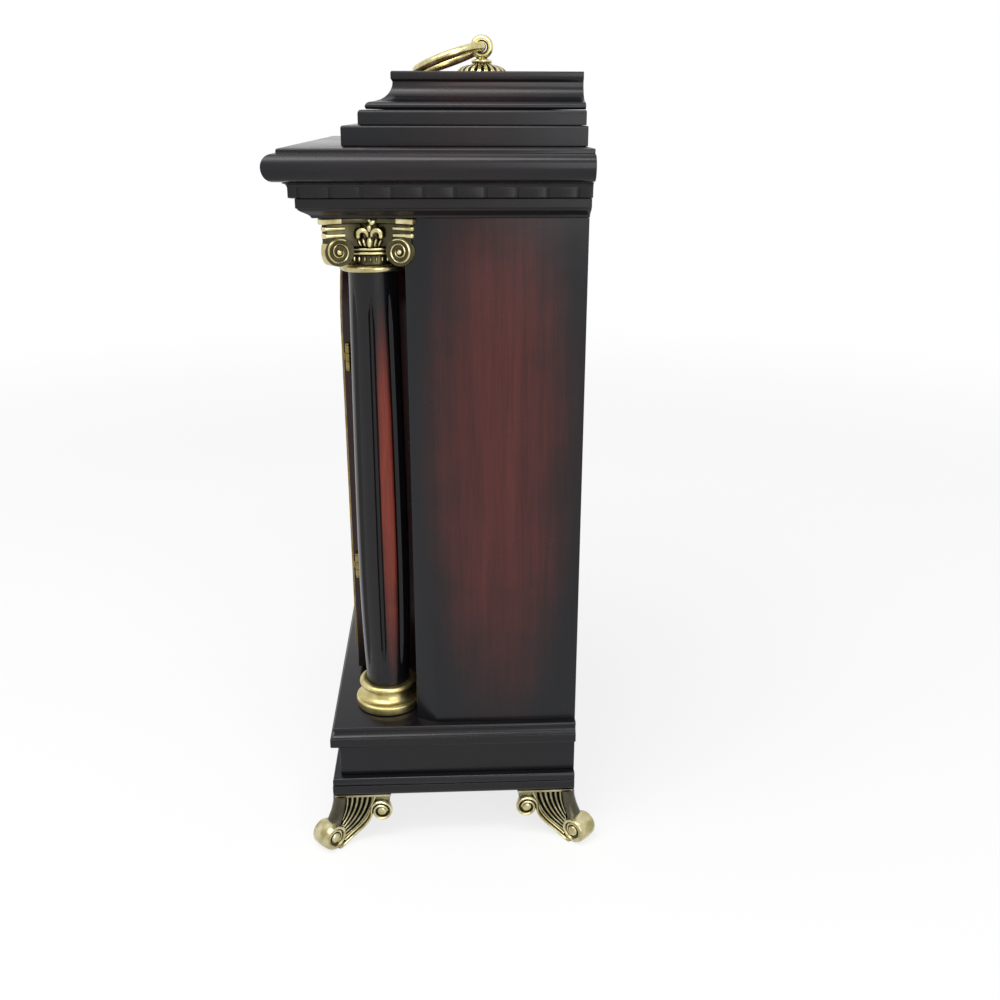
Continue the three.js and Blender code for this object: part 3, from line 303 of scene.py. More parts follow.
def waist(t):
    """The shaft's radius in millimetres at a share of its height, eased between turned sizes."""
    for (t0, r0), (t1, r1) in zip(SWELL, SWELL[1:]):
        if t <= t1:
            share = (t - t0) / (t1 - t0)
            return r0 + (r1 - r0) * share
    return SWELL[-1][1]


def make_shaft(node, turn):
    low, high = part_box(node)
    cx, cy = (low[0] + high[0]) / 2 / MM, (low[1] + high[1]) / 2 / MM
    foot, head = low[2] / MM + 9.0, high[2] / MM - 6.0
    plain = foot + RING_TALL - 9.0
    bm = bmesh.new()
    depth_layer = bm.verts.layers.float.new("flute")
    loop = bmesh.ops.create_circle(bm, segments=FLUTES * PER_FLUTE, radius=1.0)["verts"]
    edges = list(bm.edges)
    levels = 72
    rings = [loop]
    for _ in range(levels):
        grown = bmesh.ops.extrude_edge_only(bm, edges=edges)["geom"]
        rings.append(points_of(grown))
        fresh = set(rings[-1])
        edges = [g for g in grown if isinstance(g, bmesh.types.BMEdge) and set(g.verts) <= fresh]
    for level, verts in enumerate(rings):
        # Levels crowd together near the ends, where the flutes run out.
        swing = math.cos(math.pi * level / levels)
        t = 0.5 - 0.5 * swing * (1.2 - 0.2 * swing ** 2)
        t = max(0.0, min(1.0, t))
        z = foot + (head - foot) * t
        radius = sum(waist(max(0, min(1, t + d))) for d in (-0.06, -0.03, 0, 0.03, 0.06)) / 5
        from_end = min(z - plain - 11, head - 10 - z)
        share = max(0.0, min(1.0, from_end / 13)) ** 0.55
        for vert in verts:
            angle = math.atan2(vert.co.y, vert.co.x)
            around = ((angle - math.radians(turn)) / (2 * math.pi) * FLUTES) % 1.0
            across = (around - (1 if around > 0.5 else 0)) * 360 / FLUTES / (FLUTE_WIDTH / 2)
            dip = 0.0
            if share > 0.02:
                dip = max(0.0, 1 - (across / share) ** 2) ** 0.75 * share
            vert[depth_layer] = min(1.0, dip * 1.8)
            r = radius - FLUTE_DEPTH * dip
            vert.co = Vector((cx + r * math.cos(angle), cy + r * math.sin(angle), z))
    bmesh.ops.holes_fill(bm, edges=[e for e in bm.edges if e.is_boundary], sides=0)
    return finish(bm, node, 42)


def fluted_mahogany(name, middle, outward):
    # Painted sheen: the stain's red heart sits in a narrow upright band on the side that faces out,
    # standing in for light on that side.
    toward = math.radians(18)
    spot = [
        middle[0] + 13 * MM * math.cos(toward) * outward,
        middle[1] + 13 * MM * math.sin(toward),
        middle[2] - 2 * MM,
    ]
    material = lacquered_mahogany(name, spot, [0.0085, 0.0062, 0.118], 2, "#7f3120", "#0f0f13")
    tree = material.node_tree
    shader = tree.nodes["Principled BSDF"]
    stained = shader.inputs["Base Color"].links[0].from_socket
    # Painted shade: the flutes are darkened towards near black by their depth, where shade falls in them.
    depth = add(tree, "Attribute", attribute_name="flute")
    dark = srgb("#0a090b")
    painted_flute_shade = add(tree, "Mix", {0: depth.outputs["Fac"], 6: stained, 7: dark}, data_type="RGBA")
    tree.links.new(painted_flute_shade.outputs[2], shader.inputs["Base Color"])
    return material


FLUTE_TURN = 40.6  # degrees from straight out to the middle of a flute
for side, turn, outward in (("right", FLUTE_TURN, 1), ("left", 180 - FLUTE_TURN, -1)):
    node = "column_shaft_" + side
    stained = fluted_mahogany(node + "_stain", centre_of(node), outward)
    put("fluted_" + node, make_shaft(node, turn), stained, "case", (node,))

# ---------------------------------------------------------------- column rings
# Turned brass bases: a flat disc, a deep hollow and a rounded collar that holds the shaft's foot.
# They were spun on a lathe, polished, and lacquered over a light antique patina.


def antique_brass(name, bright, worn, dirt, near, rough, keep=(0.32, 0.86)):
    """Cast or turned brass: a pale rubbed face, and a brown patina that is left wherever the
    polishing cloth doesn't reach, with soft clouds of tarnish."""
    material, tree, shader = new_material(name)
    place = add(tree, "TexCoord").outputs["Object"]
    hollow = add(tree, "AmbientOcclusion", {"Distance": near}, samples=8)
    kept = add(
        tree, "MapRange", {0: hollow.outputs["AO"], 1: keep[0], 2: keep[1]},
        interpolation_type="SMOOTHSTEP",
    )
    cloud = add(tree, "TexNoise", {"Vector": place, "Scale": 160.0, "Detail": 5.0, "Roughness": 0.6})
    tarnish = add(tree, "MapRange", {0: cloud.outputs[0], 1: 0.35, 2: 0.68})
    face = add(tree, "Mix", {0: tarnish.outputs[0], 6: srgb(worn), 7: srgb(bright)}, data_type="RGBA")
    whole = add(tree, "Mix", {0: kept.outputs[0], 6: srgb(dirt), 7: face.outputs[2]}, data_type="RGBA")
    tree.links.new(whole.outputs[2], shader.inputs["Base Color"])
    shader.inputs["Metallic"].default_value = 1.0
    dull = add(tree, "MapRange", {0: kept.outputs[0], 3: 0.65, 4: rough})
    tree.links.new(dull.outputs[0], shader.inputs["Roughness"])
    # Casting skin: grains of about 0.5 mm, barely standing.
    skin = add(tree, "TexNoise", {"Vector": place, "Scale": 1 / (0.5 * MM), "Detail": 2.0})
    dent = add(tree, "Bump", {"Height": skin.outputs[0], "Strength": 0.12, "Distance": 0.03 * MM})
    tree.links.new(dent.outputs[0], shader.inputs["Normal"])
    return material


turned_brass = antique_brass("turned_brass", "#d8cd9a", "#b9aa6c", "#3a3220", 1.6 * MM, 0.34)


def place_of(node):
    """The middle of a node in plan and its foot, in millimetres."""
    low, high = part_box(node)
    return Vector(((low[0] + high[0]) / 2, (low[1] + high[1]) / 2, low[2])) / MM


def lathe(bm, profile, steps=96, to=Matrix()):
    """Spins [radius, height] points about an upright axis, then moves the shape by a matrix."""
    verts = [bm.verts.new((r, 0, z)) for r, z in profile]
    edges = [bm.edges.new(pair) for pair in zip(verts, verts[1:])]
    old = set(bm.verts) - set(verts)
    bmesh.ops.spin(
        bm, geom=verts + edges, cent=(0, 0, 0), axis=(0, 0, 1), dvec=(0, 0, 0), angle=2 * math.pi,
        steps=steps, use_merge=True, use_duplicate=False,
    )
    bmesh.ops.transform(bm, matrix=to, verts=[v for v in bm.verts if v not in old])


def bow(cx, cz, radius, start, end, steps=8, tall=None):
    """Points of an arc in a lathe profile, angles in degrees."""
    tall = radius if tall is None else tall
    points = []
    for i in range(steps + 1):
        a = math.radians(start + (end - start) * i / steps)
        points.append((cx + radius * math.cos(a), cz + tall * math.sin(a)))
    return points


for side in ("right", "left"):
    node = "column_ring_" + side
    bm = bmesh.new()
    profile = (
        [(10.6, 0.0), (18.1, 0.0)]
        + bow(18.0, 0.6, 0.6, -80, 0, 3)
        + bow(17.6, 3.8, 0.9, 0, 70, 4)
        + [(17.2, 4.9)]
        + bow(17.6, 9.9, 4.7, 265, 160, 12, 4.6)
        + [(13.2, 11.9)]
        + bow(14.2, 13.6, 2.1, -70, 90, 12, 1.9)
        + [(12.6, RING_TALL), (11.0, RING_TALL - 0.6), (10.6, RING_TALL - 1.5), (10.6, 0.0)]
    )
    lathe(bm, profile, 144, Matrix.Translation(place_of(node)))
    put("turned_" + node, finish(bm, node, 50), turned_brass, "case", (node,))

# ---------------------------------------------------------------- capitals
# Cast brass in the Ionic manner: a wide bead at the neck, a row of darts, two rings, a bell with
# a palmette on each side, and a hollow-sided abacus over four horns that curl into scrolls.
# They were blackened, and then rubbed bright on everything that stands out.


def rubbed_brass(name, bright, worn, dirt, near, rough):
    """Brass blackened in a bath and rubbed back: each face carries how far the cloth reached it,
    and the hollows beside it stay dark."""
    material = antique_brass(name, bright, worn, dirt, near, rough, (0.3, 0.85))
    tree = material.node_tree
    shader = tree.nodes["Principled BSDF"]
    base = shader.inputs["Base Color"].links[0].from_node
    hollow = base.inputs[0].links[0].from_socket
    reach = add(tree, "Attribute", attribute_name="rub")
    both = add(tree, "Math", {0: hollow, 1: reach.outputs["Fac"]}, operation="MULTIPLY")
    tree.links.new(both.outputs[0], base.inputs[0])
    return material


capital_brass = rubbed_brass("blackened_cast_brass", "#ece3b4", "#b9ab78", "#1b1811", 2.2 * MM, 0.26)


def rub(bm, amount, old=(), where=None):
    """Sets how bright the new faces are rubbed."""
    layer = bm.faces.layers.float.get("rub") or bm.faces.layers.float.new("rub")
    for face in bm.faces:
        if face not in old and (where is None or where(face)):
            face[layer] = amount


def ball(bm, at, size, tilt=Matrix(), u=14, v=9):
    """A swelling drop of cast metal: a sphere drawn out to its half sizes, tilted and placed."""
    old = set(bm.faces)
    to = Matrix.Translation(at) @ tilt @ Matrix.Diagonal((*size, 1))
    bmesh.ops.create_uvsphere(bm, u_segments=u, v_segments=v, radius=1, matrix=to)
    rub(bm, 1.0, old)


def block(bm, x, y, z, bevel=0.0, segments=3, shine=1.0):
    """A block between three pairs of limits, with its edges rounded."""
    old = set(bm.faces)
    to = Matrix.Translation(((x[0] + x[1]) / 2, (y[0] + y[1]) / 2, (z[0] + z[1]) / 2))
    to @= Matrix.Diagonal((x[1] - x[0], y[1] - y[0], z[1] - z[0], 1))
    verts = bmesh.ops.create_cube(bm, size=1, matrix=to)["verts"]
    if bevel:
        edges = list({e for v in verts for e in v.link_edges})
        bmesh.ops.bevel(
            bm, geom=edges, offset=bevel, segments=segments, affect="EDGES", profile=0.5, material=-1
        )
    rub(bm, shine, old)


def frame_at(x, y, z, at):
    """A frame with the three given axes, set at a point."""
    frame = Matrix((x, y, z)).transposed().to_4x4()
    frame.translation = at
    return frame


def draw_out(bm, frames, sides=8, shine=1.0):
    """Pulls a ring of points along a row of frames, and closes both ends."""
    before = set(bm.faces)
    verts = bmesh.ops.create_circle(
        bm, segments=sides, radius=1, cap_ends=True, matrix=frames[0]
    )["verts"]
    inside = set(verts)
    edges = list({e for v in verts for e in v.link_edges if set(e.verts) <= inside})
    for old, new in zip(frames, frames[1:]):
        grown = bmesh.ops.extrude_edge_only(bm, edges=edges)["geom"]
        verts = points_of(grown)
        fresh = set(verts)
        edges = [g for g in grown if isinstance(g, bmesh.types.BMEdge) and set(g.verts) <= fresh]
        bmesh.ops.transform(bm, matrix=new @ old.inverted(), verts=verts)
    bmesh.ops.holes_fill(bm, edges=edges, sides=0)
    rub(bm, shine, before)


# In a flat face, a bar's ring of points stands across the face: x along the face, y out of it.
ACROSS = Matrix(((1, 0, 0, 0), (0, 0, -1, 0), (0, 1, 0, 0), (0, 0, 0, 1)))
STEPS_A_TURN = 28


def curl(bm, face, radius, end, turns, start, hand, wide, deep, thin=0.6):
    """A bar that curls inwards in a face's own plane, and thins as it goes."""
    frames = []
    steps = int(turns * STEPS_A_TURN)
    for i in range(steps + 1):
        t = i / steps
        r = radius + (end - radius) * t
        size = 1 - (1 - thin) * t
        angle = math.radians(start) + hand * 2 * math.pi * turns * t
        frames.append(
            face
            @ Matrix.Rotation(angle, 4, "Z")
            @ Matrix.Translation((r, 0, 0))
            @ ACROSS
            @ Matrix.Diagonal((wide * size, deep * (0.5 + 0.5 * size), 1, 1))
        )
    draw_out(bm, frames)


HORN_OUT = 24.2  # middle of a scroll from the capital's axis, along the diagonal
SCROLL_UP = 10.9
SCROLL_RADIUS = 6.9
TAPER = math.radians(20)
DARTS = 30
HOLLOW = 7.6  # how far the middle of an abacus side is cut in


def quarter(bm):
    """What repeats on each side: the horn on the diagonal, with a scroll on both faces, and the
    palmette in the middle of the side that faces +x."""
    old = set(bm.verts)
    # The horn's scroll is a thick disc, thinner outwards; its neck carries two rounded bands.
    faces = set(bm.faces)
    bmesh.ops.create_cone(
        bm, cap_ends=True, segments=64, radius1=SCROLL_RADIUS, radius2=SCROLL_RADIUS, depth=2,
        matrix=Matrix.Translation((HORN_OUT, 0, SCROLL_UP)) @ Matrix.Rotation(math.pi / 2, 4, "X"),
    )
    rub(bm, 0.9, faces, lambda f: abs(f.normal.y) < 0.5)
    rub(bm, 0.12, faces, lambda f: abs(f.normal.y) >= 0.5)
    block(bm, (13, 29.8), (-0.96, 0.96), (SCROLL_UP + 2, 24), 0.3, 2, 0.08)
    block(bm, (20.5, 31.0), (-1.06, 1.06), (20.6, 23.1), 0.9, 4)
    block(bm, (20.5, 30.8), (-1.05, 1.05), (17.2, 19.9), 0.9, 4)
    for v in bm.verts:
        if v not in old:
            v.co.y *= max(1.4, min(7.5, 4.0 - (v.co.x - HORN_OUT) * math.tan(TAPER)))
    for hand in (1, -1):
        out, up = Vector((math.cos(TAPER), -hand * math.sin(TAPER), 0)), Vector((0, 0, 1))
        normal = Vector((math.sin(TAPER), hand * math.cos(TAPER), 0))
        face = frame_at(out, up, normal, (HORN_OUT, 4.0 * hand, SCROLL_UP))
        curl(bm, face, SCROLL_RADIUS - 0.55, 1.7, 1.9, 120, -1, 0.78, 1.0)
        ball(bm, face @ Vector((0.2, 0, 0.2)), (1.5, 1.5, 1.5))
    bmesh.ops.rotate(
        bm, cent=(0, 0, 0), matrix=Matrix.Rotation(math.radians(45), 3, "Z"),
        verts=[v for v in bm.verts if v not in old],
    )

    def leaf(side, up, wide, tall, lean, out=16.6, thick=1.3, nod=0.0):
        """One leaf on the bell: its middle, half sizes and lean in degrees from upright."""
        swing = math.asin(max(-0.9, min(0.9, side / out)))
        tilt = Matrix.Rotation(swing, 4, "Z") @ Matrix.Rotation(math.radians(-lean), 4, "X")
        tilt @= Matrix.Rotation(math.radians(nod), 4, "Y")
        ball(bm, (out * math.cos(swing), side, up), (thick, wide, tall), tilt, 12, 10)

    leaf(0, 15.3, 1.45, 2.7, 0, 16.9, 1.6)
    for hand in (1, -1):
        leaf(2.7 * hand, 15.2, 0.8, 2.1, 16 * hand, 16.2)
        leaf(4.8 * hand, 15.0, 0.7, 1.9, 24 * hand, 16.0)
        leaf(6.7 * hand, 14.7, 0.6, 1.7, 34 * hand, 15.6)
        leaf(8.3 * hand, 14.3, 0.5, 1.4, 44 * hand, 15.0)
        # The two big fronds rise from behind the middle leaf and roll over outwards.
        frames = []
        for i in range(21):
            t = i / 20
            angle = math.radians(195 - 235 * t)
            r = 2.5 * (1 - 0.25 * t)
            out = 17.0 + 0.7 * math.sin(math.pi * t)
            at = (out, (3.5 + r * math.cos(angle)) * hand, 18.5 + 1.1 * r * math.sin(angle))
            run = Vector((0, math.sin(angle) * hand, -math.cos(angle)))
            aside = run.cross(Vector((1, 0, 0)))
            girth = 0.55 + 0.75 * math.sin(math.pi * min(1, t * 0.95 + 0.02)) + 0.5 * max(0, t - 0.6)
            frames.append(frame_at(aside * girth, Vector((girth * 0.9, 0, 0)), run, at))
        draw_out(bm, frames)
        ball(bm, (17.2, 5.5 * hand, 18.0), (1.1, 1.15, 1.3))
    # A bud between them, and a flame that laps over the abacus.
    leaf(0, 22.0, 1.4, 2.3, 0, 16.9, 1.5)
    leaf(1.7, 25.0, 1.6, 2.0, 32, 17.6, 1.2, -14)
    leaf(0.2, 25.6, 1.0, 1.2, -20, 17.6, 1.0, -14)


def make_capital(node):
    bm = bmesh.new()
    quarter(bm)
    geom = bm.verts[:] + bm.edges[:] + bm.faces[:]
    for k in (1, 2, 3):
        verts = points_of(bmesh.ops.duplicate(bm, geom=geom)["geom"])
        turn = Matrix.Rotation(math.pi / 2 * k, 3, "Z")
        bmesh.ops.rotate(bm, cent=(0, 0, 0), matrix=turn, verts=verts)
    faces = set(bm.faces)
    bell = (
        [(0, 0), (14.0, 0)]
        + bow(15.0, 2.0, 2.0, -90, 80, 10, 1.9)
        + [(13.4, 4.1), (12.9, 5.2), (12.9, 8.2), (13.8, 8.7)]
        + bow(14.6, 9.6, 0.75, -80, 80, 6)
        + [(13.9, 10.5)]
        + bow(14.5, 11.6, 0.75, -80, 80, 6)
        + [(13.4, 12.5), (13.0, 13.6), (13.0, 16.5), (13.4, 20), (14.4, 23), (15, 24.2), (0, 24.2)]
    )
    lathe(bm, bell, 96)
    rub(bm, 0.1, faces)
    rub(bm, 0.85, faces, lambda f: f.calc_center_median().z < 4)
    rub(bm, 1.0, faces, lambda f: 8.8 < f.calc_center_median().z < 12.4)
    for i in range(DARTS):
        angle = 2 * math.pi * i / DARTS
        at = Vector((13.5 * math.cos(angle), 13.5 * math.sin(angle), 6.6))
        ball(bm, at, (0.75, 0.5, 1.4), Matrix.Rotation(angle, 4, "Z"), 8, 6)
    # The abacus: a round plate pulled out to four clipped horns with hollow sides between.
    faces = set(bm.faces)
    plate = bmesh.ops.create_circle(bm, segments=192, radius=1, cap_ends=True)["verts"]
    for v in plate:
        angle = math.atan2(v.co.y, v.co.x)
        off = (angle + math.pi / 4) % (math.pi / 2) - math.pi / 4
        slope = math.tan(off)
        # One side is x = 24 - HOLLOW (1 - (y / 21)^2), met by the ray y = x slope.
        a, b, c = HOLLOW * slope * slope / 441, -1.0, 24 - HOLLOW
        x = (-b - math.sqrt(max(0, b * b - 4 * a * c))) / (2 * a) if abs(a) > 1e-9 else c
        reach = min(x / math.cos(off), 31.8 / math.cos(math.pi / 4 - abs(off)))
        v.co = Vector((reach * math.cos(angle), reach * math.sin(angle), 23.8))
    inside = set(plate)
    face = [f for f in bm.faces if set(f.verts) == inside]
    upper = points_of(bmesh.ops.extrude_face_region(bm, geom=face)["geom"])
    bmesh.ops.translate(bm, verts=upper, vec=(0, 0, 3.15))
    rims = [e for e in bm.edges if set(e.verts) <= inside or set(e.verts) <= set(upper)]
    bmesh.ops.bevel(bm, geom=rims, offset=0.8, segments=3, affect="EDGES", profile=0.5, material=-1)
    rub(bm, 0.1, faces)
    rub(bm, 1.0, faces, lambda f: f.calc_center_median().xy.length > 23.5)
    bmesh.ops.translate(bm, verts=bm.verts, vec=place_of(node))
    return finish(bm, node, 44)


for side in ("right", "left"):
    node = "column_capital_" + side
    put("cast_" + node, make_capital(node), capital_brass, "case", (node,))

# ---------------------------------------------------------------- feet
# Cast brass brackets screwed under the corners: two fluted wings, each edged by a band that
# curls into a small scroll, and a rolled scroll on the diagonal that stands on the table. The
# flutes are blackened, and the bands and the roll are rubbed bright.
foot_brass = rubbed_brass("blackened_foot_brass", "#dfd8b0", "#a59a6a", "#26262a", 1.6 * MM, 0.28)
WING = 33.0  # reach of a wing from the corner of the base moulding
WING_RIBS = 7
SMALL_AT = (26.8, 18.9)  # middle of the small scroll, along the wing and up
ROLL = 7.65  # radius of the rolled scroll, which is also its height above the table
ROLL_OUT = 4.1
BAND = [(2.2, 1.0), (5.0, 1.15), (8.6, 3.2), (12.6, 6.2), (16.4, 9.6), (19.4, 13.2), (20.7, 16.6)]
INNER_BAND = [
    (5.2, 3.1), (8.2, 5.1), (12.0, 8.0), (15.6, 11.3), (18.4, 14.8),
    (20.0, 18.6), (21.2, 22.6), (22.6, 26.4), (23.4, 28.6),
]
FILLET = [
    (4.6, 2.0), (8.4, 4.1), (12.3, 7.1), (16.0, 10.4),
    (19.0, 14.0), (20.9, 18.4), (22.4, 23.0), (25.0, 27.0),
]
SPINE = (  # out along the diagonal, up, half the width and half the depth
    (-5.0, 29.5, 4.6, 3.4), (-4.4, 25, 4.3, 3.3), (-2.8, 20, 4.4, 3.3),
    (-0.6, 15.5, 4.8, 3.4), (2.2, 10.5, 5.2, 3.4),
)


def flare(s, z):
    """How far the wing's face stands out of the moulding's edge: 2 mm in, out towards the roll."""
    low = max(0.0, min(1.0, (25 - z) / 14))
    return -2.2 + 9.4 * math.exp(-max(0, s - 1.6) / 6.0) * low * low * (3 - 2 * low)


def eased_path(points, each):
    """A smooth run through the given points, with so many steps between each two."""
    run = []
    pts = [points[0], *points, points[-1]]
    for a, b, c, d in zip(pts, pts[1:], pts[2:], pts[3:]):
        for i in range(each):
            t = i / each
            spot = []
            for p, q, r, w in zip(a, b, c, d):
                square, cube = 2 * p - 5 * q + 4 * r - w, 3 * q - p - 3 * r + w
                spot.append(0.5 * (2 * q + (r - p) * t + square * t * t + cube * t ** 3))
            run.append(spot)
    return run + [list(points[-1])]


def band_along(bm, path, wide, deep, proud, shine=1.0):
    """A bar that lies on the wing's face, along a path of [s, z] points."""
    spots = [Vector((flare(s, z) + proud, s, z)) for s, z in path]
    frames = []
    for i, spot in enumerate(spots):
        run = (spots[min(i + 1, len(spots) - 1)] - spots[max(i - 1, 0)]).normalized()
        out = Vector((1, 0, 0))
        out = (out - run * out.dot(run)).normalized()
        frames.append(frame_at(run.cross(out) * wide, out * deep, run, spot))
    draw_out(bm, frames, 10, shine)


def make_foot(node, flip_x, flip_y):
    bm = bmesh.new()
    bm.faces.layers.float.new("rub")
    # One wing, along +y and facing +x. Its fluted web fans from the plate down to the roll.
    old = set(bm.faces)
    grid = bmesh.ops.create_grid(bm, x_segments=84, y_segments=20, size=0.5)["verts"]

    def pair(a, b, u):
        return Vector((a[0] + (b[0] - a[0]) * u, a[1] + (b[1] - a[1]) * u))

    crest = {}
    for v in grid:
        u, t = v.co.x + 0.5, 0.5 - v.co.y
        p0, p1 = pair((3.0, 28.9), (23.6, 28.9), u), pair((3.6, 26.0), (23.2, 21.0), u)
        p2, p3 = pair((4.2, 22.0), (17.5, 8.6), u), pair((4.6, 19.0), (5.4, 3.6), u)
        at = p0 * (1 - t) ** 3 + p1 * 3 * t * (1 - t) ** 2 + p2 * 3 * t * t * (1 - t) + p3 * t ** 3
        ridge = abs(math.sin(math.pi * WING_RIBS * u)) ** 1.2
        crest[v] = ridge
        v.co = Vector((flare(at.x, at.y) - 1.1 + 1.25 * ridge, at.x, at.y))
    rub(bm, 0.55, old, lambda f: sum(crest[v] for v in f.verts) / 4 > 0.55)
    web = [f for f in bm.faces if f not in old]
    bmesh.ops.recalc_face_normals(bm, faces=web)
    if sum(f.normal.x for f in web) < 0:
        bmesh.ops.reverse_faces(bm, faces=web)
    back = bmesh.ops.extrude_face_region(bm, geom=web, use_keep_orig=True)["geom"]
    bmesh.ops.translate(bm, verts=points_of(back), vec=(-3.2, 0, 0))
    # The plate under the moulding, the small scroll's disc, and its boss.
    block(bm, (-7.6, -0.9), (1.0, WING - 0.6), (28.7, 30.05), 0.35, 2, 0.7)
    old = set(bm.faces)
    bmesh.ops.create_cone(
        bm, cap_ends=True, segments=48, radius1=5.3, radius2=5.3, depth=4.4,
        matrix=Matrix.Translation((-4.4, *SMALL_AT)) @ Matrix.Rotation(math.pi / 2, 4, "Y"),
    )
    rub(bm, 0.1, old)
    ball(bm, (-2.0, SMALL_AT[0] + 0.2, SMALL_AT[1] - 0.1), (1.7, 2.9, 2.9), Matrix(), 24, 14)
    # The band: from under the roll it sweeps up beside the flutes and curls over the scroll.
    run = list(BAND)
    for i in range(25):
        angle = math.radians(180 - 22 * i)
        r = 6.0 - 2.9 * max(0, i - 3) / 21
        run.append((SMALL_AT[0] + r * math.cos(angle), SMALL_AT[1] + r * math.sin(angle)))
    band_along(bm, eased_path(run, 4), 0.95, 2.0, -0.1)
    band_along(bm, eased_path(INNER_BAND, 5), 0.8, 1.3, -0.3, 0.9)
    # The fillet of metal between the two bars, and the corner behind the scroll.
    band_along(bm, eased_path(FILLET, 4), 1.5, 1.6, -2.2, 0.2)
    block(bm, (-6.6, -2.6), (22.0, WING - 1.4), (24.4, 29.0), 0.4, 2, 0.35)
    # The other wing is its mirror image about the diagonal.
    geom = bm.verts[:] + bm.edges[:] + bm.faces[:]
    swap = Matrix(((0, -1, 0), (-1, 0, 0), (0, 0, 1)))
    for v in points_of(bmesh.ops.duplicate(bm, geom=geom)["geom"]):
        v.co = swap @ v.co
    # The spine on the diagonal, thick where it meets the roll.
    old_verts = set(bm.verts)
    spine = [
        Matrix.Translation((out, 0, z)) @ Matrix.Diagonal((deep, wide, 1, 1))
        for out, z, wide, deep in SPINE
    ]
    draw_out(bm, spine, 16, 0.12)
    barrel = [(0, -5.2), (4.9, -5.2), (5.4, -6.2), (6.1, -6.5), (6.8, -6.2), (7.3, -5.2)]
    barrel += [(7.55, -3.2), (ROLL, -1.2)]
    barrel += [(r, -l) for r, l in reversed(barrel)]
    to = Matrix.Translation((ROLL_OUT, 0, ROLL)) @ Matrix.Rotation(math.pi / 2, 4, "X")
    faces = set(bm.faces)
    lathe(bm, barrel, 72, to)
    rub(bm, 0.95, faces)
    rub(bm, 0.1, faces, lambda f: abs(f.calc_center_median().y) < 5.9 and abs(f.normal.y) > 0.9)
    for hand in (1, -1):
        at = (ROLL_OUT, 5.3 * hand, ROLL)
        face = frame_at(Vector((1, 0, 0)), Vector((0, 0, 1)), Vector((0, hand, 0)), at)
        ball(bm, at, (3.1, 1.8, 3.1), Matrix(), 24, 14)
        curl(bm, face, 5.3, 3.4, 0.9, -70, 1, 0.75, 0.9, 0.8)
    bmesh.ops.rotate(
        bm, cent=(0, 0, 0), matrix=Matrix.Rotation(math.radians(-45), 3, "Z"),
        verts=[v for v in bm.verts if v not in old_verts],
    )
    low, high = (Vector(c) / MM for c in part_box("base_moulding"))
    at = Vector((low.x if flip_x < 0 else high.x, high.y if flip_y < 0 else low.y, 0))
    to = Matrix.Translation(at) @ Matrix.Diagonal((flip_x, flip_y, 1, 1))
    bmesh.ops.transform(bm, matrix=to, verts=bm.verts)
    return finish(bm, node, 40)


for node, flip_x, flip_y in (
    ("foot_front_right", 1, 1), ("foot_front_left", -1, 1),
    ("foot_back_right", 1, -1), ("foot_back_left", -1, -1),
):
    put("cast_" + node, make_foot(node, flip_x, flip_y), foot_brass, "case", (node,))

# ---------------------------------------------------------------- ring handle
# A cast rosette and a turned collar with an eye, held by a shank down into the cap, and a loose
# ring of thick wire that lies folded to the front. The ribs are bright, and their grooves black.
handle_brass = rubbed_brass("rubbed_handle_brass", "#ebe3b6", "#b5a663", "#1d1a12", 1.6 * MM, 0.24)


def hoop(bm, radius, wire, to, steps, sides, flat=1.0):
    """A closed ring of round wire about the x axis, moved by a matrix."""
    faces, old = set(bm.faces), set(bm.verts)
    section = bmesh.ops.create_circle(bm, segments=sides, radius=wire)["verts"]
    for v in section:
        v.co = Vector((v.co.x * flat, 0, v.co.y + radius))
    edges = [e for e in bm.edges if set(e.verts) <= set(section)]
    bmesh.ops.spin(
        bm, geom=section + edges, cent=(0, 0, 0), axis=(1, 0, 0), dvec=(0, 0, 0), angle=2 * math.pi,
        steps=steps, use_merge=True, use_duplicate=False,
    )
    bmesh.ops.transform(bm, matrix=to, verts=[v for v in bm.verts if v not in old])
    rub(bm, 1.0, faces)


low, high = (Vector(c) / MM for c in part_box("handle_rosette"))
stand = Vector(((low.x + high.x) / 2, (low.y + high.y) / 2, low.z - 0.2))
RIBS = 22
EYE_UP = 15.0
RING_RADIUS, RING_WIRE = 19.1, 2.4


def in_groove(face):
    """Whether a face of the rosette lies between two ribs."""
    at = face.calc_center_median()
    ribbed = at.z > 0.95 and 6 < at.xy.length < 14.5
    return ribbed and math.cos(math.atan2(at.y, at.x) * RIBS) > 0.25


bm = bmesh.new()
bm.faces.layers.float.new("rub")
dome = [(0, 0.2), (15.0, 0.2), (15.0, 0.9), (14.2, 1.3)] + bow(4.6, 1.3, 9.4, 0, 78, 12, 4.6)
dome += [(5.4, 6.45), (0, 6.45)]
lathe(bm, dome, RIBS * 12)
for v in bm.verts:
    r = v.co.xy.length
    if 6.0 < r < 14.6 and v.co.z > 0.95:
        dip = max(0.0, math.cos(math.atan2(v.co.y, v.co.x) * RIBS)) ** 1.6
        fade = min(1.0, (14.6 - r) / 1.0, (r - 6.0) / 1.2)
        v.co.z -= 1.15 * dip * fade
        v.co.xy *= 1 - 0.045 * dip * fade
bm.normal_update()
rub(bm, 1.0)
rub(bm, 0.06, (), in_groove)
bmesh.ops.translate(bm, verts=bm.verts, vec=stand)
put("ribbed_rosette", finish(bm, "handle_rosette", 50), handle_brass, "case", ("handle_rosette",))

bm = bmesh.new()
bm.faces.layers.float.new("rub")
collar = [(0, -13), (2.5, -13), (2.5, 6.6), (4.9, 6.7)] + bow(4.7, 7.6, 1.1, -80, 80, 6, 0.9)
collar += [(4.4, 8.6), (3.0, 9.0), (2.4, 9.6), (2.6, 10.4), (0, 10.4)]
lathe(bm, collar, 64)
rub(bm, 1.0)
hoop(bm, 4.6, 1.75, Matrix.Translation((0, 0, EYE_UP)), 72, 20, 1.15)
bmesh.ops.translate(bm, verts=bm.verts, vec=stand)
put("turned_eye", finish(bm, "handle_post", 50), handle_brass, "case", ("handle_post",))

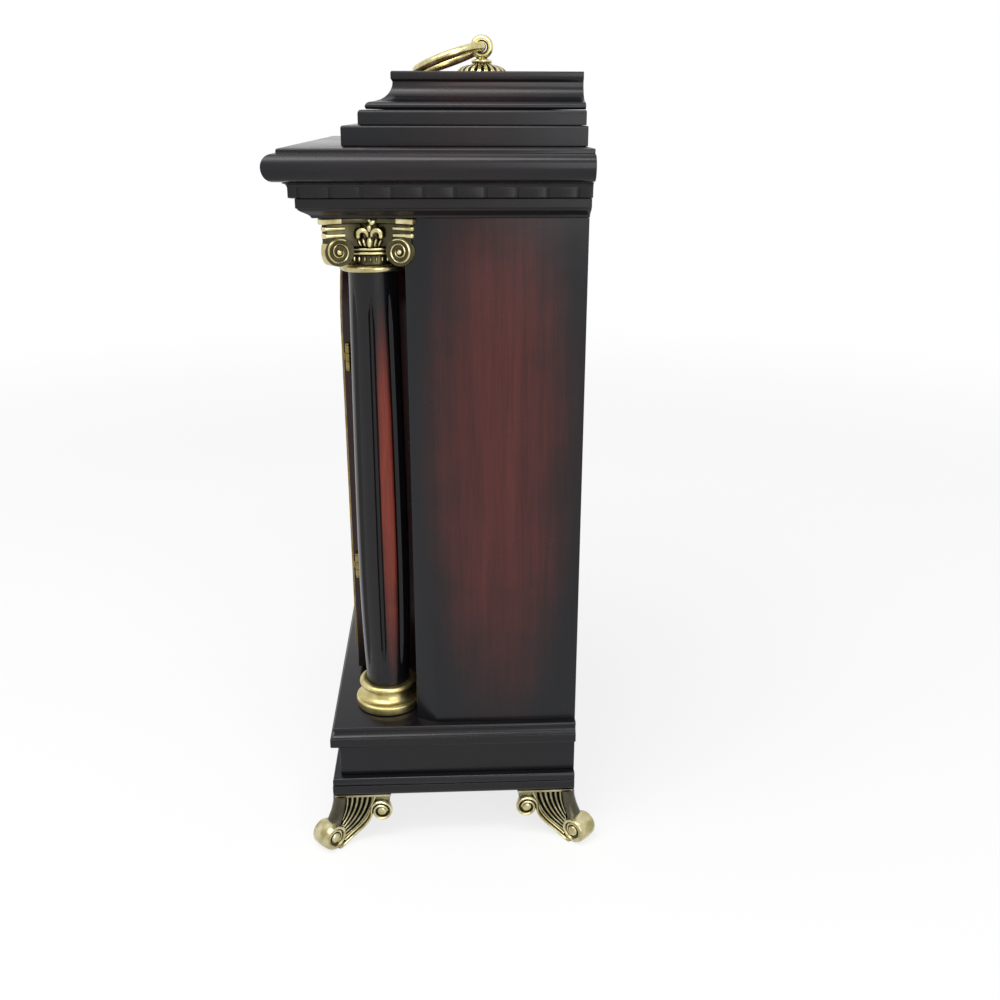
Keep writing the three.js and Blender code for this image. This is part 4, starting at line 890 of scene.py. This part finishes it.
bm = bmesh.new()
bm.faces.layers.float.new("rub")
# Folded to the front, the ring's far side rests just above the cap.
fold = math.asin((EYE_UP - RING_WIRE - 0.3) / (2 * RING_RADIUS))
lean = Matrix.Rotation(math.radians(-3.5), 4, "Y")
hoop(bm, RING_RADIUS, RING_WIRE, Matrix.Rotation(math.pi / 2, 4, "Y"), 128, 24)
to = Matrix.Translation(stand + Vector((0, 0, EYE_UP))) @ Matrix.Rotation(fold, 4, "X")
to = to @ lean @ Matrix.Translation((0, -RING_RADIUS, 0))
bmesh.ops.transform(bm, matrix=to, verts=bm.verts)
put("loose_ring", finish(bm, "handle_ring", 50), handle_brass, "ring_handle", ("handle_ring",))

# ---------------------------------------------------------------- hinges, knobs and bezel
# Small turned and folded brass, screwed to the wood: butt hinges with loose pins, pull knobs,
# and the bezel round the dial. They are lacquered, and darker than the mounts.
plain_brass = antique_brass("lacquered_brass", "#a08c55", "#75643a", "#241d10", 1.2 * MM, 0.32)
for body, nodes in {
    "case": [
        "door_hinge_upper_case_leaf", "door_hinge_lower_case_leaf", "door_hinge_upper_pin",
        "door_hinge_lower_pin", "back_hinge_upper_case_leaf", "back_hinge_lower_case_leaf",
        "back_hinge_upper_pin", "back_hinge_lower_pin", "fixing_nut",
    ],
    "door": ["door_bezel", "door_knob", "door_hinge_upper_door_leaf", "door_hinge_lower_door_leaf"],
    "back_door": ["back_door_knob", "back_hinge_upper_door_leaf", "back_hinge_lower_door_leaf"],
}.items():
    for node in nodes:
        eased(node, plain_brass, body, 0.12 * MM)

# ---------------------------------------------------------------- doors
# An arch-headed mahogany frame, glued up and sawn to shape, with clear glass held in a rebate,
# and a flat mahogany back door.
door_stain = lacquered_mahogany(
    "door_frame_stain", centre_of("door_frame"), [0.12, 0.1, 0.2], 2, "#3c1c19"
)
eased("door_frame", door_stain, "door", 0.8 * MM, smooth=38, segments=3)
eased("back_door", back_stain, "back_door", 0.4 * MM)

glass, tree, shader = new_material("window_glass")
place = add(tree, "TexCoord").outputs["Object"]
smear = add(tree, "TexNoise", {"Vector": place, "Scale": 35.0, "Detail": 5.0, "Roughness": 0.65})
# Faint finger smears, and a tint of green from the iron in the glass.
film = add(tree, "MapRange", {0: smear.outputs[0], 1: 0.45, 2: 0.75, 3: 0.0, 4: 0.035})
tree.links.new(film.outputs[0], shader.inputs["Roughness"])
tint = add(
    tree, "Mix", {0: smear.outputs[0], 6: srgb("#f2f7f5"), 7: srgb("#e6efeb")}, data_type="RGBA"
)
tree.links.new(tint.outputs[2], shader.inputs["Base Color"])
shader.inputs["IOR"].default_value = 1.52
shader.inputs["Transmission Weight"].default_value = 1.0
eased("door_glass", glass, "door")

# ---------------------------------------------------------------- dial
# A brass plate, silvered and grained, with an enamelled ring pinned to it. The numerals and the
# minute track are printed on the ring in black.
GRAIN = 0.25 * MM


def mottled(name, pale, dark, size, rough, metal=0.0, stretch=(1, 1, 1), height=0.0):
    """A plain finish with its small unevenness: two tones and a roughness that share one noise."""
    material, tree, shader = new_material(name)
    place = add(tree, "TexCoord").outputs["Object"]
    drawn = add(tree, "Mapping", {"Vector": place, "Scale": stretch})
    noise = add(
        tree, "TexNoise", {"Vector": drawn.outputs[0], "Scale": 1 / size, "Detail": 4.0, "Roughness": 0.6}
    )
    share = add(tree, "MapRange", {0: noise.outputs[0], 1: 0.3, 2: 0.7})
    tone = add(tree, "Mix", {0: share.outputs[0], 6: srgb(dark), 7: srgb(pale)}, data_type="RGBA")
    dull = add(tree, "MapRange", {0: noise.outputs[0], 1: 0.3, 2: 0.7, 3: rough + 0.08, 4: rough - 0.04})
    tree.links.new(tone.outputs[2], shader.inputs["Base Color"])
    tree.links.new(dull.outputs[0], shader.inputs["Roughness"])
    shader.inputs["Metallic"].default_value = metal
    if height:
        dent = add(tree, "Bump", {"Height": noise.outputs[0], "Strength": 0.3, "Distance": height})
        tree.links.new(dent.outputs[0], shader.inputs["Normal"])
    return material


silvered = mottled("silvered_brass", "#dcd8ca", "#bdb7a3", GRAIN, 0.36, 1.0, (0.08, 1, 1), 0.02 * MM)
eased("dial_plate", silvered, "case", 0.15 * MM)
enamel = mottled("cream_enamel", "#efe8d2", "#e3d9bd", 9 * MM, 0.28)
eased("chapter_ring", enamel, "case", 0.15 * MM)

ink = mottled("black_print", "#1c1b1c", "#121113", 0.8 * MM, 0.5)
low, high = (Vector(c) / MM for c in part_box("chapter_ring"))
middle_x, middle_z, skin_y = (low.x + high.x) / 2, (low.z + high.z) / 2, low.y
INK = 0.02  # how far the print stands off the enamel
bm = bmesh.new()


def stroke(angle, start, end, wide):
    """A printed bar between two points given as [aside, out] from the dial's middle, turned
    clockwise by an angle in degrees."""
    a, b = Vector(start), Vector(end)
    run = (b - a).normalized()
    aside = Vector((-run.y, run.x)) * wide / 2
    turn = Matrix.Rotation(-math.radians(angle), 2)
    points = []
    for corner in (a - aside, b - aside, b + aside, a + aside):
        spot = turn @ corner
        points.append(bm.verts.new((middle_x + spot.x, skin_y - INK, middle_z + spot.y)))
    back = bmesh.ops.extrude_face_region(bm, geom=[bm.faces.new(points)])["geom"]
    bmesh.ops.translate(bm, verts=points_of(back), vec=(0, 2 * INK, 0))


NUMERALS = ("XII", "I", "II", "III", "IV", "V", "VI", "VII", "VIII", "IX", "X", "XI")
WIDTHS = {"I": 1.75, "V": 3.7, "X": 3.7}
FOOT, HEAD, THICK, THIN = 29.4, 36.0, 1.15, 0.45  # radii of a numeral, and its two strokes
MARGIN = 0.45
TRACK = (36.9, 38.5)
for hour, numeral in enumerate(NUMERALS):
    at = -sum(WIDTHS[c] for c in numeral) / 2
    for letter in numeral:
        left, right = at + MARGIN, at + WIDTHS[letter] - MARGIN
        middle = (left + right) / 2
        if letter == "I":
            stroke(hour * 30, (middle, FOOT), (middle, HEAD), THICK)
        elif letter == "V":
            stroke(hour * 30, (left, HEAD), (middle, FOOT), THICK)
            stroke(hour * 30, (right, HEAD), (middle, FOOT), THIN)
        else:
            stroke(hour * 30, (left, HEAD), (right, FOOT), THICK)
            stroke(hour * 30, (right, HEAD), (left, FOOT), THIN)
        at += WIDTHS[letter]
for minute in range(60):
    stroke(minute * 6, (0, TRACK[0]), (0, TRACK[1]), 0.8 if minute % 5 == 0 else 0.3)
for radius in TRACK:
    half = radius * math.tan(math.radians(1.5))
    for step in range(120):
        stroke(step * 3, (-half, radius), (half, radius), 0.25)
put("printed_numerals", finish(bm, "printed_numerals"), ink, "case")

# ---------------------------------------------------------------- hands, movement and pendulum
# Stamped steel hands, painted black. A moulded black plastic movement hangs on its threaded boss
# behind the dial, with a battery in its clip, and a brass pendulum swings below it.
black_steel = mottled("black_steel", "#1d1e22", "#131417", 0.6 * MM, 0.34, 0.0, (1, 1, 1), 0.01 * MM)
eased("hour_hand", black_steel, "hour_hand", 0.12 * MM)
eased("minute_hand", black_steel, "minute_hand", 0.12 * MM)
eased("hand_nut", plain_brass, "minute_hand", 0.12 * MM)
black_abs = mottled("black_abs", "#202124", "#17181a", 0.7 * MM, 0.48, 0.0, (1, 1, 1), 0.04 * MM)
eased("movement_case", black_abs, "case", 0.5 * MM, segments=3)
eased("setting_knob", black_abs, "setting_knob", 0.2 * MM)
sleeve = mottled("battery_sleeve", "#46505a", "#353e46", 5 * MM, 0.3, 0.3)
eased("battery", sleeve, "case", 0.3 * MM)
bob_brass = antique_brass("polished_bob_brass", "#d3bf7d", "#b39c5c", "#3a2f18", 1.5 * MM, 0.24)
for node in ("pendulum_rod", "pendulum_bob", "rating_nut"):
    eased(node, bob_brass, "pendulum", 0.12 * MM)

# ---------------------------------------------------------------- floor, light and camera
# A white table top in a white tent, with a large lamp overhead, a soft fill from the right, and
# a narrow strip above the side that draws a line of light along each edge.
bm = bmesh.new()
bmesh.ops.create_grid(bm, x_segments=1, y_segments=1, size=6)
floor = bpy.data.objects.new("floor", bpy.data.meshes.new("floor"))
bm.to_mesh(floor.data)
bm.free()
bpy.context.collection.objects.link(floor)
table, tree, shader = new_material("white_table")
shader.inputs["Base Color"].default_value = srgb("#f2f2f2")
shader.inputs["Roughness"].default_value = 0.9
shader.inputs["Specular IOR Level"].default_value = 0.1
rays = add(tree, "LightPath")
seen = add(
    tree, "Math", {0: rays.outputs["Is Camera Ray"], 1: rays.outputs["Is Glossy Ray"]},
    operation="MAXIMUM",
)
# Near the clock the table keeps its shadow, and past 1.5 m it is as white as the tent.
place = add(tree, "TexCoord").outputs["Object"]
round_it = add(tree, "Mapping", {"Vector": place, "Scale": [1.7, 1.7, 1.7]}, vector_type="TEXTURE")
fade = add(tree, "TexGradient", {"Vector": round_it.outputs[0]}, gradient_type="SPHERICAL")
share = add(
    tree, "MapRange", {0: fade.outputs[1], 1: 0.08, 2: 0.65, 3: 1.0, 4: 0.78},
    interpolation_type="SMOOTHSTEP",
)
part = add(tree, "Math", {0: seen.outputs[0], 1: share.outputs[0]}, operation="MULTIPLY")
lit = add(tree, "Emission", {"Color": srgb("#ffffff"), "Strength": 1.0})
mixed = add(tree, "MixShader", {0: part.outputs[0], 1: shader.outputs[0], 2: lit.outputs[0]})
tree.links.new(mixed.outputs[0], tree.nodes["Material Output"].inputs["Surface"])
floor.data.materials.append(table)

world = bpy.data.worlds.new("tent")
bpy.context.scene.world = world
world.use_nodes = True
tree = world.node_tree
rays = add(tree, "LightPath")
seen = add(
    tree, "Math", {0: rays.outputs["Is Camera Ray"], 1: rays.outputs["Is Glossy Ray"]},
    operation="MAXIMUM",
)
seen = add(
    tree, "Math", {0: seen.outputs[0], 1: rays.outputs["Is Transmission Ray"]}, operation="MAXIMUM"
)
strength = add(tree, "MapRange", {0: seen.outputs[0], 3: 0.45, 4: 1.0})
tree.links.new(strength.outputs[0], tree.nodes["Background"].inputs["Strength"])
tree.nodes["Background"].inputs["Color"].default_value = srgb("#ffffff")


def lamp(name, at, aim, size, power):
    data = bpy.data.lights.new(name, "AREA")
    data.shape = "RECTANGLE"
    data.size, data.size_y = size
    data.energy = power
    made = bpy.data.objects.new(name, data)
    made.location = at
    made.rotation_euler = (Vector(aim) - Vector(at)).to_track_quat("-Z", "Y").to_euler()
    bpy.context.collection.objects.link(made)


lamp("overhead", (0.5, -0.5, 1.5), (0, 0, 0.2), (1.2, 1.2), 14)
lamp("right_fill", (1.6, 0.6, 0.8), (0, 0, 0.25), (0.9, 1.2), 9)
lamp("edge_strip", (0.5, -0.07, 1.15), (0, -0.07, 0.3), (1.4, 0.16), 3.5)

# The camera stands level with the top of the clock, to its right, looking a little down.
YAW, PITCH, ROLL = math.radians(2.93), math.radians(19.91), math.radians(0.12)
level = math.cos(PITCH)
forward = Vector((-math.cos(YAW) * level, math.sin(YAW) * level, -math.sin(PITCH)))
right = Vector((math.sin(YAW), math.cos(YAW), 0))
up = right.cross(forward)
right, up = (
    right * math.cos(ROLL) + up * math.sin(ROLL),
    up * math.cos(ROLL) - right * math.sin(ROLL),
)
lens = bpy.data.cameras.new("camera")
lens.sensor_width = 36
lens.lens = 1073.2 * 36 / 1000
camera = bpy.data.objects.new("camera", lens)
case_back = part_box("side_panel_right")[1][1]
place = Matrix((right, up, -forward)).transposed().to_4x4()
place.translation = (0.64128, case_back - 0.06929, 0.39475)
camera.matrix_world = place
bpy.context.collection.objects.link(camera)
bpy.context.scene.camera = camera
bpy.context.scene.view_settings.view_transform = "Standard"
